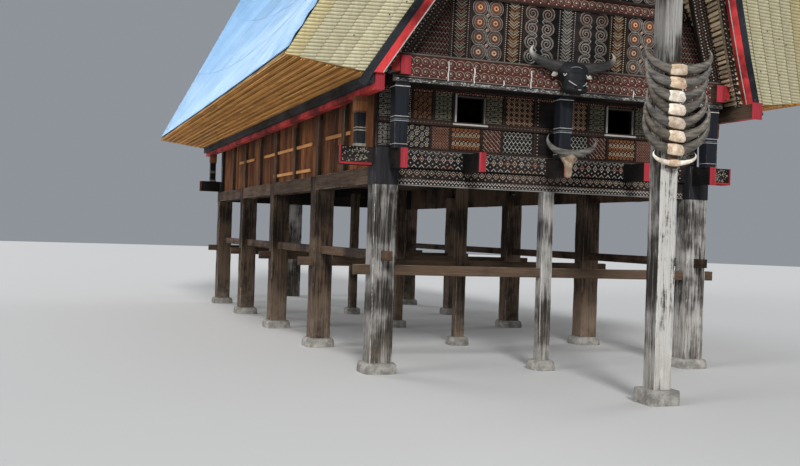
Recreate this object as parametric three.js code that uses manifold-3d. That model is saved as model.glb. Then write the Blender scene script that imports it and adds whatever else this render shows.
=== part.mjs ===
// Tongkonan: a traditional raised Toraja house with a saddle roof, carved gables and a pile substructure.
// Millimetres, +Z up, +X to the right of the front facade, the front facade looks along -Y.
// The origin lies on the ground below the middle of the house.

import * as THREE from "three";
import { mergeVertices } from "three/addons/utils/BufferGeometryUtils.js";
import Module from "manifold-3d";

const wasm = await Module();
wasm.setup();

// Driving dimensions
const GAP = 0.4; // clearance between pieces that touch
const LAP = 10; // how far solids that are joined reach into each other
const FACADE_Y = 5200; // outer face of the facade wall, from the middle of the house
const WALL = 60; // thickness of the board walls
const FRONT_WALL_HALF = 2200; // half the width of the facade wall
const SIDE_WALL_X = 2140; // outer face of a side wall
const WALL_FOOT = 2160; // underside of the side walls and of the carved apron
const FLOOR_TOP = 2620;
const PLATE_FOOT = 3360; // underside of the two long wall plates

const PILLAR = { side: 280, x: 2110, stone: 420, stoneTop: 120 };
const CENTRE_PILLAR = { side: 150, stone: 300 };
const CORNER_BENT_Y = 5260;
const INNER_BENT_Y = [-2650, 0, 2650];
const TIE = { foot: 1120, top: 1240, depth: 90, reach: 2430 }; // cross rail through the pillars
const LONG_RAIL = { foot: 1290, top: 1400, width: 80, reach: 5560 };

const SILL = { foot: 2370, top: 2580, out: 100, back: 40, reach: 2640 }; // carved cross sill
const INNER_SILL = { width: 160, reach: 2440 };
const BEAM_END = { x: [-2040, -1090, 0, 1090, 2040], width: 80, foot: 2335, top: 2550, out: 560 };
const APRON = { halfWidth: 1960, thick: 60 };
const INNER_PILLAR_FOOT = WALL_FOOT - 50; // where a side wall is notched round an inner pillar
const WINDOW = { inner: 850, outer: 1200, foot: 2930, top: 3240, margin: 100 };

const SCREEN_POST = { x: [-2060, 0, 2060], out: 420, footSide: 150, topSide: 176 };
const LINTEL = { foot: 3285, top: 3620, out: 500, back: 340, halfWidth: 2180 };
const LEDGE = { thick: 36 };
const PLATE = { x: 2075, width: 110, top: 3560, out: 620 };
const TIE_BEAM = { y: [-4400, 0, 4400], width: 140, top: 3720, halfLength: 2700 };
const EAVE_POST = { x: 2400, width: 140, foot: SILL.top, top: 3150 };
const EAVE_BEAM = { inner: 2345, outer: 2445, foot: 3150, runOut: 200 }; // the right one runs out further
const EAVE_BOARD = { inner: 2455, outer: 2505, foot: 3215 };
const STUD = { y: [-3900, -2650, -1300, 0, 1300, 2650, 3900], width: 120, proud: 70 };

// The roof: straight eaves, a ridge that rises to both ends and gable ends that lean out with height
const ROOF = {
  footIn: { x: 2360, z: 3330 }, // inner lower edge of the thick bamboo roof
  bearing: 150, // width of the flat strip under the inner lower edge
  lip: { x: 3440, z: 3450 },
  ridgeTip: 9750,
  ridgeMid: 7700,
  apexTip: 7330, // top of the underside at the gable ends
  apexMid: 6100,
  apexFlat: 130, // half width of the flat strip over the ridge beam
  saddle: 2.2, // exponent of the rise towards the ends
  slopeSteps: 7,
  lengthSteps: 22,
};
const LEAN = { start: 0.36, growth: 0.035e-3, in: 5890, out: 5860 }; // outward lean of the ends
const ZINC = { thick: 30 };
const RIDGE_CAP = { reach: 300, thick: 40 };
const RIDGE_BEAM = { half: 105, depth: 210, reach: 7715 };
const BARGE = {
  black: [2575, 2478], // outer and inner line at the foot
  red: [2477.5, 2367],
  slope: 0.59,
  thick: 50,
  steps: 9,
  drop: 100, // how far the black board hangs below the foot of the roof
  square: 0.55, // how much lower its inner corner hangs, as a share of the drop
};
const GABLE = { out: 420, lean: 0.05, thick: 60, halfWidth: 2600, top: 7200, topHalf: 300 };

const HORN = {
  sides: 8,
  steps: 7,
  turn: Math.PI * 0.62,
  taper: 0.86, // share of the thickness lost at the tip
  fullness: 1.7, // exponent that keeps a horn thick up to its middle
};
const STRUT = { side: 200, y: 7700, plinth: 330, plinthTop: 150 };
const HORNS = {
  count: 8,
  foot: 2330,
  pitch: 130,
  seat: 0.3, // height of a pair's roots in its pitch
  reach: 400,
  rise: 300,
  thick: 105,
  board: 120,
  backing: 60,
};
const HEAD = {
  foot: 3290,
  width: 400,
  depth: 270,
  height: 390,
  widths: [0.55, 0.8, 1], // shares of the width at the muzzle, the cheeks and the brow
  depths: [0.75, 1, 1],
  hornSeat: 0.8, // height of the horns' roots as a share of the head's
  hornReach: 560,
  hornRise: 230,
  hornThick: 125,
};
const SKULL = {
  foot: 2320,
  width: 210,
  height: 330,
  depth: 100,
  widths: [0.5, 0.8, 1],
  hornSeat: 0.85,
  hornReach: 330,
  hornRise: 220,
  hornThick: 80,
};

// Colours, roughness and metalness of the pieces
const FINISH = {
  oldWood: { color: 0x6f6a5e, roughness: 0.9 },
  darkWood: { color: 0x3b2a1d, roughness: 0.85 },
  plank: { color: 0x6b3a1e, roughness: 0.8 },
  carved: { color: 0x2c211d, roughness: 0.75 },
  black: { color: 0x1a2028, roughness: 0.6 },
  red: { color: 0xa82a26, roughness: 0.65 },
  bamboo: { color: 0xb88a45, roughness: 0.8 },
  zinc: { color: 0x9cbfdc, roughness: 0.4, metalness: 0.6 },
  stone: { color: 0x8d8a84, roughness: 0.95 },
  horn: { color: 0x4b4841, roughness: 0.5 },
};

/** A closed mesh as a solid for joining and cutting. */
function solidOf(geometry) {
  const bare = new THREE.BufferGeometry();
  bare.setAttribute("position", geometry.getAttribute("position").clone());
  if (geometry.index) bare.setIndex(geometry.index.clone());
  const merged = mergeVertices(bare, 1e-3);
  const mesh = new wasm.Mesh({
    numProp: 3,
    vertProperties: new Float32Array(merged.getAttribute("position").array),
    triVerts: new Uint32Array(merged.index.array),
  });
  return new wasm.Manifold(mesh);
}

/** The mesh of a solid. */
function geometryOf(solid) {
  const mesh = solid.getMesh();
  const geometry = new THREE.BufferGeometry();
  geometry.setAttribute("position", new THREE.BufferAttribute(new Float32Array(mesh.vertProperties), 3));
  geometry.setIndex(new THREE.BufferAttribute(new Uint32Array(mesh.triVerts), 1));
  return geometry;
}

/** A box between two corners, optionally grown on every side. */
function box(low, high, grow = 0) {
  const size = high.map((value, axis) => value - low[axis] + 2 * grow);
  const middle = high.map((value, axis) => (value + low[axis]) / 2);
  return solidOf(new THREE.BoxGeometry(...size).translate(...middle));
}

/** A box whose corners are moved by a rule: place(a, b, c) takes fractions 0 to 1 along X, Y and Z. */
function warped(steps, place) {
  const geometry = new THREE.BoxGeometry(1, 1, 1, ...steps);
  const position = geometry.getAttribute("position");
  for (let i = 0; i < position.count; i += 1) {
    const point = place(position.getX(i) + 0.5, position.getY(i) + 0.5, position.getZ(i) + 0.5);
    position.setXYZ(i, ...point);
  }
  return solidOf(geometry);
}

/** The same solid on the other side of the plane X = 0 or Y = 0. */
function mirrored(solid, axis) {
  return solid.mirror(axis === "x" ? [1, 0, 0] : [0, 1, 0]);
}

/** One solid from several that touch or overlap. */
function joined(solids) {
  return solids.reduce((sum, solid) => sum.add(solid));
}

/** One solid with others cut away. */
function cut(solid, tools) {
  return tools.reduce((rest, tool) => rest.subtract(tool), solid);
}

const mix = (from, to, share) => from + (to - from) * share;

/** How far an end of the roof reaches at a height above its foot. */
function endReach(foot, rise) {
  return foot + LEAN.start * rise + LEAN.growth * rise * rise;
}

/** Roof point: slope 0 at the eave to 1 at the ridge, skin 0 inside to 1 outside, along -1 to 1. */
function roofPoint(slope, skin, along, clearance = 0) {
  const swing = Math.abs(along) ** ROOF.saddle;
  const outer = {
    x: mix(ROOF.lip.x, 0, slope),
    rise: mix(0, mix(ROOF.ridgeMid, ROOF.ridgeTip, swing) - ROOF.lip.z, slope),
    tipRise: mix(0, ROOF.ridgeTip - ROOF.lip.z, slope),
  };
  const innerSlope = Math.min(Math.max((slope * ROOF.slopeSteps - 1) / (ROOF.slopeSteps - 2), 0), 1);
  const footX = slope === 0 ? ROOF.footIn.x + ROOF.bearing : ROOF.footIn.x;
  const inner = {
    x: slope < 1 ? mix(footX, ROOF.apexFlat, innerSlope) : 0,
    rise: mix(0, mix(ROOF.apexMid, ROOF.apexTip, swing) - ROOF.footIn.z, innerSlope),
    tipRise: mix(0, ROOF.apexTip - ROOF.footIn.z, innerSlope),
  };
  const x = mix(inner.x - clearance, outer.x, skin);
  const y = along * mix(endReach(LEAN.in, inner.tipRise), endReach(LEAN.out, outer.tipRise), skin);
  const z = mix(ROOF.footIn.z + inner.rise - clearance, ROOF.lip.z + outer.rise, skin);
  return [Math.max(x, 0), y, z];
}

/** One slope of the thick bamboo roof, on the side of positive X. */
function roofSlope(middle = GAP / 2, clearance = 0) {
  return warped([1, ROOF.lengthSteps, ROOF.slopeSteps], (a, b, c) => {
    const [x, y, z] = roofPoint(c, a, 2 * b - 1, clearance);
    return [Math.max(x, middle), y, z];
  });
}

/** A skin on the left roof slope, from one share of the slope to another, lifted by low to high. */
function roofSkin(low, high, start, end, middle) {
  return warped([1, ROOF.lengthSteps, ROOF.slopeSteps], (a, b, c) => {
    const [x, y, z] = roofPoint(mix(start, end, c), 1, 2 * b - 1);
    return [-Math.max(x, middle), y, z + mix(high, low, a)];
  });
}

/** A flat board that follows the lean of the gable end, from one slanting line to another. */
function bargeBoard(lines, thick, drop) {
  const [outer, inner] = lines;
  return warped([1, 1, BARGE.steps], (a, b, c) => {
    const start = mix(inner, outer, a);
    const step = Math.round(c * BARGE.steps);
    const foot = -drop * (1 + BARGE.square * (1 - a));
    const rise = step === 0 ? foot : ((start / BARGE.slope) * (step - 1)) / (BARGE.steps - 1);
    const x = start - BARGE.slope * rise;
    const y = -endReach(LEAN.in, Math.max(rise, 0)) - GAP - mix(thick, 0, b);
    return [x, y, ROOF.footIn.z + rise];
  });
}

/** A horn: a tapered round bar bent along an arc, from its root outwards and up. */
function horn(root, reach, rise, thick) {
  const geometry = new THREE.CylinderGeometry(0.5, 0.5, 1, HORN.sides, HORN.steps);
  const position = geometry.getAttribute("position");
  for (let i = 0; i < position.count; i += 1) {
    const along = position.getY(i) + 0.5;
    const turn = along * HORN.turn;
    const width = thick * (1 - HORN.taper * along ** HORN.fullness);
    const out = reach * Math.sin(turn);
    const lift = (rise * (1 - Math.cos(turn))) / (1 - Math.cos(HORN.turn));
    const normal = new THREE.Vector2(-Math.sin(turn), Math.cos(turn));
    const across = position.getX(i) * width;
    const x = root[0] + out + across * normal.x;
    const y = root[1] + position.getZ(i) * width;
    const z = root[2] + lift + across * normal.y;
    position.setXYZ(i, x, y, z);
  }
  return solidOf(geometry);
}

const house = new THREE.Group();
house.name = "tongkonan_house";

/** Adds one named piece to the house. */
function add(name, solid, finish) {
  const material = new THREE.MeshStandardMaterial({ metalness: 0, ...FINISH[finish] });
  const mesh = new THREE.Mesh(geometryOf(solid), material);
  mesh.name = name;
  house.add(mesh);
}

const ENDS = [
  { name: "front", place: (solid) => solid },
  { name: "rear", place: (solid) => mirrored(solid, "y") },
];
const SIDES = [
  { name: "left", place: (solid) => mirrored(solid, "x") },
  { name: "right", place: (solid) => solid },
];

/** The two long rails through the pillars. */
function longRail(grow = 0) {
  const half = LONG_RAIL.width / 2;
  const low = [PILLAR.x - half, -LONG_RAIL.reach, LONG_RAIL.foot];
  const high = [PILLAR.x + half, LONG_RAIL.reach, LONG_RAIL.top];
  return box(low, high, grow);
}

/** The carved cross sill with the ends of the floor beams and the apron below it. */
function carvedSill(grow = 0) {
  const front = -FACADE_Y - SILL.out;
  const sill = box([-SILL.reach, front, SILL.foot], [SILL.reach, -FACADE_Y + SILL.back, SILL.top], grow);
  const ends = BEAM_END.x.map((x) => {
    const half = BEAM_END.width / 2;
    const low = [x - half, -FACADE_Y - BEAM_END.out, BEAM_END.foot];
    return box(low, [x + half, front + 2 * LAP, BEAM_END.top], grow);
  });
  return joined([sill, ...ends]);
}

/** The apron board under the carved sill. */
function apron() {
  const low = [-APRON.halfWidth, -FACADE_Y - APRON.thick, WALL_FOOT];
  return box(low, [APRON.halfWidth, -FACADE_Y, SILL.foot + LAP]);
}

/** A pillar on its base stone. */
function pillar(x, y, side, stone, top) {
  const post = box([x - side / 2, y - side / 2, PILLAR.stoneTop - LAP], [x + side / 2, y + side / 2, top]);
  const foot = box([x - stone / 2, y - stone / 2, 0], [x + stone / 2, y + stone / 2, PILLAR.stoneTop]);
  return joined([post, foot]);
}

/** A row of three pillars across the house with the rail that runs through them. */
function bent(y, pillarTop, centreTop) {
  const outer = [-1, 1].map((side) => pillar(side * PILLAR.x, y, PILLAR.side, PILLAR.stone, pillarTop));
  const centre = pillar(0, y, CENTRE_PILLAR.side, CENTRE_PILLAR.stone, centreTop);
  const half = TIE.depth / 2;
  const rail = box([-TIE.reach, y - half, TIE.foot], [TIE.reach, y + half, TIE.top]);
  return joined([...outer, centre, rail]);
}

const railHoles = [longRail(GAP), mirrored(longRail(GAP), "x")];

// Substructure: rows of pillars, long rails, sills and floor
const endRow = bent(-CORNER_BENT_Y, SILL.top - GAP, WALL_FOOT - GAP);
const frontBent = cut(endRow, [...railHoles, carvedSill(GAP)]);
for (const end of ENDS) {
  add(`pillar_row_${end.name}`, end.place(frontBent), "oldWood");
  add(`carved_sill_${end.name}`, end.place(joined([carvedSill(), apron()])), "carved");
}
const innerSillSpan = INNER_SILL.width / 2;
INNER_BENT_Y.forEach((y, index) => {
  const low = [-INNER_SILL.reach, y - innerSillSpan, SILL.foot - LAP];
  const sill = box(low, [INNER_SILL.reach, y + innerSillSpan, SILL.top]);
  const row = cut(joined([bent(y, SILL.foot, SILL.foot), sill]), railHoles);
  add(`pillar_row_inner_${index + 1}`, row, "darkWood");
});
for (const side of SIDES) add(`long_rail_${side.name}`, side.place(longRail()), "darkWood");

const floorX = SIDE_WALL_X - WALL - GAP;
const floorY = FACADE_Y - WALL - GAP;
add("floor_boards", box([-floorX, -floorY, SILL.top + GAP], [floorX, floorY, FLOOR_TOP]), "plank");

// Walls
const innerSillHoles = INNER_BENT_Y.map((y) =>
  box(
    [-INNER_SILL.reach, y - innerSillSpan, SILL.foot - LAP],
    [INNER_SILL.reach, y + innerSillSpan, SILL.top],
    GAP,
  ),
);
const sideWallReach = CORNER_BENT_Y - PILLAR.side / 2 - GAP;
const sidePanelLow = [SIDE_WALL_X - WALL, -sideWallReach, WALL_FOOT + GAP];
const sidePanel = box(sidePanelLow, [SIDE_WALL_X, sideWallReach, PLATE_FOOT - GAP]);
const studs = STUD.y.map((y) =>
  box(
    [SIDE_WALL_X - LAP, y - STUD.width / 2, WALL_FOOT + GAP],
    [SIDE_WALL_X + STUD.proud, y + STUD.width / 2, EAVE_BEAM.foot - GAP],
  ),
);
const innerPillars = INNER_BENT_Y.map((y) => {
  const half = PILLAR.side / 2;
  return box([PILLAR.x - half, y - half, INNER_PILLAR_FOOT], [PILLAR.x + half, y + half, SILL.foot], GAP);
});
const sideWall = cut(joined([sidePanel, ...studs]), [...innerSillHoles, ...innerPillars]);
for (const side of SIDES) add(`side_wall_${side.name}`, side.place(sideWall), "plank");

const wallTop = PLATE_FOOT - LEDGE.thick - GAP;
const frontPanel = box(
  [-FRONT_WALL_HALF, -FACADE_Y, SILL.top + GAP],
  [FRONT_WALL_HALF, -FACADE_Y + WALL, wallTop],
);
const windows = [-1, 1].map((side) => {
  const xs = [side * WINDOW.inner, side * WINDOW.outer].sort((a, b) => a - b);
  const low = [xs[0], -FACADE_Y - WINDOW.margin, WINDOW.foot];
  return box(low, [xs[1], -FACADE_Y + WALL + WINDOW.margin, WINDOW.top]);
});
const facadeWall = cut(frontPanel, windows);
for (const end of ENDS) add(`facade_wall_${end.name}`, end.place(facadeWall), "carved");

// Wall plates, tie beams and the parts under the eaves
const plateHalf = PLATE.width / 2;
const plateReach = FACADE_Y + PLATE.out;
function plate(grow = 0) {
  const low = [PLATE.x - plateHalf, -plateReach, PLATE_FOOT];
  return box(low, [PLATE.x + plateHalf, plateReach, PLATE.top], grow);
}
const plateHoles = [plate(GAP), mirrored(plate(GAP), "x")];
for (const side of SIDES) add(`wall_plate_${side.name}`, side.place(plate()), "red");

const roofRight = roofSlope();
const roofCutter = joined([roofSlope(0, GAP), mirrored(roofSlope(0, GAP), "x")]);
TIE_BEAM.y.forEach((y, index) => {
  const half = TIE_BEAM.width / 2;
  const low = [-TIE_BEAM.halfLength, y - half, PLATE.top + GAP];
  const beam = box(low, [TIE_BEAM.halfLength, y + half, TIE_BEAM.top]);
  add(`tie_beam_${index + 1}`, cut(beam, [roofCutter]), "darkWood");
});

const eaveReach = LEAN.in;
for (const side of SIDES) {
  const runOut = side.name === "right" ? EAVE_BEAM.runOut : 0;
  const beamLow = [EAVE_BEAM.inner, -eaveReach - runOut, EAVE_BEAM.foot];
  const beam = box(beamLow, [EAVE_BEAM.outer, eaveReach, ROOF.footIn.z - GAP]);
  add(`eave_beam_${side.name}`, side.place(beam), "red");
  const boardLow = [EAVE_BOARD.inner, -eaveReach, EAVE_BOARD.foot];
  const board = box(boardLow, [EAVE_BOARD.outer, eaveReach, ROOF.footIn.z - GAP]);
  add(`eave_board_${side.name}`, side.place(board), "black");
}

const sillMiddle = -FACADE_Y - (SILL.out - SILL.back) / 2;
const eavePostHalf = EAVE_POST.width / 2;
for (const end of ENDS) {
  for (const side of SIDES) {
    const low = [EAVE_POST.x - eavePostHalf, sillMiddle - eavePostHalf, EAVE_POST.foot + GAP];
    const high = [EAVE_POST.x + eavePostHalf, sillMiddle + eavePostHalf, EAVE_POST.top - GAP];
    add(`eave_post_${end.name}_${side.name}`, end.place(side.place(box(low, high))), "black");
  }
}

// Facade screen: black posts on the beam ends, the carved lintel on them and the ledge behind it
function screenPost(x, tenon = 0) {
  const foot = BEAM_END.top + GAP;
  const top = LINTEL.foot - GAP + tenon;
  return warped([1, 1, 1], (a, b, c) => {
    const side = mix(SCREEN_POST.footSide, SCREEN_POST.topSide, c);
    return [x + (a - 0.5) * side, -FACADE_Y - SCREEN_POST.out + (b - 0.5) * side, mix(foot, top, c)];
  });
}
const lintelBeam = box(
  [-LINTEL.halfWidth, -FACADE_Y - LINTEL.out, LINTEL.foot],
  [LINTEL.halfWidth, -FACADE_Y - LINTEL.back, LINTEL.top],
);
const ledge = box(
  [-LINTEL.halfWidth, -FACADE_Y - LINTEL.back - 2 * LAP, wallTop + GAP],
  [LINTEL.halfWidth, -FACADE_Y + WALL, PLATE_FOOT - GAP],
);
const lintel = cut(joined([lintelBeam, ledge]), plateHoles);
const POST_NAMES = ["left", "centre", "right"];
add("carved_lintel_front", lintel, "carved");
SCREEN_POST.x.forEach((x, index) => add(`facade_post_${POST_NAMES[index]}`, screenPost(x), "black"));
const rearScreen = joined([lintel, ...SCREEN_POST.x.map((x) => screenPost(x, 3 * GAP))]);
add("rear_post_screen", mirrored(rearScreen, "y"), "carved");

// Ridge beam under the apex, following the saddle
const apexReach = endReach(LEAN.in, ROOF.apexTip - ROOF.footIn.z);
function apexHeight(y) {
  const along = Math.abs(y) / apexReach;
  return mix(ROOF.apexMid, ROOF.apexTip, along ** ROOF.saddle);
}
const lastStation = apexReach * (1 - 2 / ROOF.lengthSteps);
const lastSlope = (ROOF.apexTip - apexHeight(lastStation)) / (apexReach - lastStation);
/** Height of the underside near and past the gable end, where it runs on straight. */
function apexLine(y) {
  return ROOF.apexTip + lastSlope * (Math.abs(y) - apexReach);
}
function ridgeBeam(grow = 0) {
  return warped([1, ROOF.lengthSteps, 1], (a, b, c) => {
    const along = 2 * b - 1;
    const atEnd = Math.abs(along) > 0.999;
    const y = atEnd ? Math.sign(along) * RIDGE_BEAM.reach : along * apexReach;
    const top = atEnd ? apexLine(y) : apexHeight(y);
    const x = (2 * a - 1) * (RIDGE_BEAM.half + grow);
    return [x, y, top - GAP + (c < 0.5 ? -RIDGE_BEAM.depth - grow : grow)];
  });
}
add("ridge_beam", ridgeBeam(), "darkWood");

// Gables: leaning boards cut to the underside of the roof
const gableSlab = warped([1, 1, 1], (a, b, c) => {
  const z = mix(LINTEL.top + GAP, GABLE.top, c);
  const y = -FACADE_Y - GABLE.out - GABLE.lean * (z - LINTEL.top) + mix(0, GABLE.thick, b);
  const half = mix(GABLE.halfWidth, GABLE.topHalf, c);
  return [mix(-half, half, a), y, z];
});
const gable = cut(gableSlab, [roofCutter, ridgeBeam(GAP)]);
for (const end of ENDS) add(`gable_${end.name}`, end.place(gable), "carved");

// The posts that carry the ends of the ridge beam, on their plinths
function ridgePost(grow = 0) {
  return warped([1, 1, 1], (a, b, c) => {
    const y = -STRUT.y + (b - 0.5) * (STRUT.side + 2 * grow);
    const z = c < 0.5 ? STRUT.plinthTop + GAP : apexLine(y) - RIDGE_BEAM.depth - 2 * GAP + grow;
    return [(a - 0.5) * (STRUT.side + 2 * grow), y, z];
  });
}
const plinthHalf = STRUT.plinth / 2;
const plinth = box(
  [-plinthHalf, -STRUT.y - plinthHalf, 0],
  [plinthHalf, -STRUT.y + plinthHalf, STRUT.plinthTop],
);
add("ridge_post_front", ridgePost(), "oldWood");
add("post_plinth_front", plinth, "stone");
const rearPost = joined([ridgePost(), plinth.translate([0, 0, 2 * GAP]), plinth]);
add("ridge_post_rear", mirrored(rearPost, "y"), "oldWood");

// Roof: two thick bamboo slopes, their zinc sheets, the ridge cap and the barge boards
const zincLeft = roofSkin(GAP, GAP + ZINC.thick, 0, 1, GAP / 2);
const zincRight = mirrored(zincLeft, "x");
for (const side of SIDES) {
  add(`roof_${side.name}`, side.place(roofRight), "bamboo");
  add(`zinc_${side.name}`, side.place(zincRight), "zinc");
}
const capShare = 1 - RIDGE_CAP.reach / ROOF.lip.x;
const capSide = roofSkin(ZINC.thick / 2, ZINC.thick + RIDGE_CAP.thick, capShare, 1, 0);
const roofLeft = mirrored(roofRight, "x");
const underCap = [zincLeft, zincRight, roofRight, roofLeft].map((solid) => solid.translate([0, 0, GAP]));
const cap = cut(joined([capSide, mirrored(capSide, "x")]), underCap);
add("ridge_cap", cap, "zinc");

const behindBarge = [roofRight, roofLeft].map((solid) => solid.translate([0, -GAP, 0]));
function bargePair(lines, drop = 0) {
  const board = bargeBoard(lines, BARGE.thick, drop);
  return cut(joined([board, mirrored(board, "x")]), [ridgePost(GAP), ...behindBarge]);
}
add("barge_black_front", bargePair(BARGE.black, BARGE.drop), "black");
add("barge_red_front", bargePair(BARGE.red), "red");
add("barge_boards_rear", mirrored(bargePair([BARGE.black[0], BARGE.red[1]]), "y"), "red");

// Buffalo horns on the front post, and the carved head and the skull on the facade
const strutFace = -STRUT.y - STRUT.side / 2;
const backing = box(
  [-HORNS.board / 2, strutFace - HORNS.backing, HORNS.foot],
  [HORNS.board / 2, strutFace - GAP, HORNS.foot + HORNS.pitch * HORNS.count],
);
const hornPairs = Array.from({ length: HORNS.count }, (unused, index) => {
  const root = [0, strutFace - HORNS.backing, HORNS.foot + HORNS.pitch * (index + HORNS.seat)];
  const one = horn(root, HORNS.reach, HORNS.rise, HORNS.thick);
  return joined([one, mirrored(one, "x")]);
});
add("horn_stack", joined([backing, ...hornPairs]), "horn");

const lintelFace = -FACADE_Y - LINTEL.out;
const headSolid = warped([1, 1, 2], (a, b, c) => {
  const width = HEAD.width * HEAD.widths[Math.round(c * 2)];
  const depth = HEAD.depth * HEAD.depths[Math.round(c * 2)];
  return [(a - 0.5) * width, lintelFace - GAP - (1 - b) * depth, HEAD.foot + c * HEAD.height];
});
const headHorn = horn(
  [HEAD.width / 3, lintelFace - HEAD.depth / 2, HEAD.foot + HEAD.height * HEAD.hornSeat],
  HEAD.hornReach - HEAD.width / 3,
  HEAD.hornRise,
  HEAD.hornThick,
);
add("buffalo_head", joined([headSolid, headHorn, mirrored(headHorn, "x")]), "black");

const skullBack = -FACADE_Y - BEAM_END.out - GAP;
const skullSolid = warped([1, 1, 2], (a, b, c) => {
  const width = SKULL.width * SKULL.widths[Math.round(c * 2)];
  return [(a - 0.5) * width, skullBack - (1 - b) * SKULL.depth, SKULL.foot + c * SKULL.height];
});
const skullHorn = horn(
  [SKULL.width / 3, skullBack - SKULL.depth / 2, SKULL.foot + SKULL.height * SKULL.hornSeat],
  SKULL.hornReach - SKULL.width / 3,
  SKULL.hornRise,
  SKULL.hornThick,
);
add("skull_and_horns", joined([skullSolid, skullHorn, mirrored(skullHorn, "x")]), "horn");

export default house;
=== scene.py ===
"""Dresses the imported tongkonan: carved facades, layered roof, zinc sheets, horns and weathered timber.

Metres, +Z up, +X to the right of the front facade, which looks along -Y.
"""

from __future__ import annotations

import logging
import math
from collections.abc import Callable, Sequence
from dataclasses import dataclass, field, replace
from enum import Enum
from typing import Any

import bmesh
import bpy
import numpy as np
from mathutils import Matrix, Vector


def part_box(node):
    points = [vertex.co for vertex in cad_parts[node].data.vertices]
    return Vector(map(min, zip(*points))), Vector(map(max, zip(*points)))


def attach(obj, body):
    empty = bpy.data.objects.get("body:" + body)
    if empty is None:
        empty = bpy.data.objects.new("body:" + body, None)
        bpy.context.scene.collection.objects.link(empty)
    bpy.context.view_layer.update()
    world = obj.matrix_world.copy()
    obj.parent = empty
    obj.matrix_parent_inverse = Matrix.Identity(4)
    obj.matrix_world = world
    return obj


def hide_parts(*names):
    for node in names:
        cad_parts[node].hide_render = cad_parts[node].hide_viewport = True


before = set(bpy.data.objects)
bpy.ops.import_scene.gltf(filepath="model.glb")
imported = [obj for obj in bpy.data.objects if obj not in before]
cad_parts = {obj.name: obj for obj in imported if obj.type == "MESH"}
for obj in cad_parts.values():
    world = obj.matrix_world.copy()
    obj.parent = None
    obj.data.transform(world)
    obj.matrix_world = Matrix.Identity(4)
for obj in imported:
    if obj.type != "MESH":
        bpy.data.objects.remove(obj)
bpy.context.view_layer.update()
LOG = logging.getLogger("tongkonan")
Array = np.ndarray
Material = bpy.types.Material
NodeTree = bpy.types.NodeTree
Socket = bpy.types.NodeSocket
Colour = tuple[float, float, float]
BODY = "root"
WELD = 1e-5
SHARP_ANGLE = math.radians(38)
# Run towards the middle for each metre of rise, of the lines on the barge boards
BARGE_SLOPE = 0.59
# Width of the border between two paints on one board
BORDER = 0.003


class End(Enum):
    """The two gable ends, by the sign of Y."""

    FRONT = -1
    REAR = 1

    @property
    def label(self) -> str:
        """The end's name in lower case."""
        return self.name.lower()


class Side(Enum):
    """The two long sides, by the sign of X."""

    LEFT = -1
    RIGHT = 1

    @property
    def label(self) -> str:
        """The side's name in lower case."""
        return self.name.lower()


class Flow(Enum):
    """Which way the grain runs: with the piece's own bars, or along one axis of the house."""

    PIECE = (3.0, 70.0, 70.0)
    LONG = (0.7, 55.0, 55.0)
    ALONG_X = (3.0, 70.0, 70.0 + 1e-3)
    ALONG_Y = (70.0, 3.0, 70.0)
    ALONG_Z = (70.0, 70.0, 3.0)


# Colours are linear. Carving paints
WHITE: Colour = (0.74, 0.70, 0.62)
CREAM: Colour = (0.68, 0.55, 0.38)
GREY: Colour = (0.47, 0.44, 0.39)
RUST: Colour = (0.30, 0.085, 0.045)
ORANGE: Colour = (0.43, 0.175, 0.062)
RED: Colour = (0.42, 0.035, 0.035)
INK: Colour = (0.012, 0.014, 0.018)


def mix(start: Any, stop: Any, share: Any) -> Any:
    """The value a share of the way from start to stop."""
    return start + (stop - start) * share


def coords(*columns: Any) -> Array:
    """Points from their coordinates, each one number or an array."""
    return np.stack(np.broadcast_arrays(*(np.asarray(column, float) for column in columns)), -1)


def unit(vectors: Array) -> Array:
    """Vectors scaled to length one."""
    length = np.linalg.norm(vectors, axis=-1, keepdims=True)
    return vectors / np.maximum(length, 1e-9)


# Meshes


# Columns of a point: its place, its tint and tone, its edge mark and its grain place
PLACE, TINT, TONE, EDGE, RUN = slice(0, 3), slice(3, 7), 6, 7, slice(8, 11)


def packed(
    points: Array, tint: Any = (1.0, 1.0, 1.0), tone: Any = 0.5, edge: Any = 0.0, grain: Any = None
) -> Array:
    """Points with their looks in one array.

    Args:
        points: Places, with x, y, z last.
        tint: Paint colour for all points or for each.
        tone: Brightness of the board, 0 to 1, for all points or for each.
        edge: 1 on a worn edge, for all points or for each; it also carries painted light on the ridge
            posts' fronts and painted shade in the cream bands' ripple troughs.
        grain: Place along and across the grain, or None for the point itself.

    Returns:
        The points' columns.
    """
    full = np.empty((*points.shape[:-1], 11))
    full[..., PLACE] = points
    full[..., 3:6] = tint
    full[..., TONE] = tone
    full[..., EDGE] = edge
    full[..., RUN] = points if grain is None else grain
    return full


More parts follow.
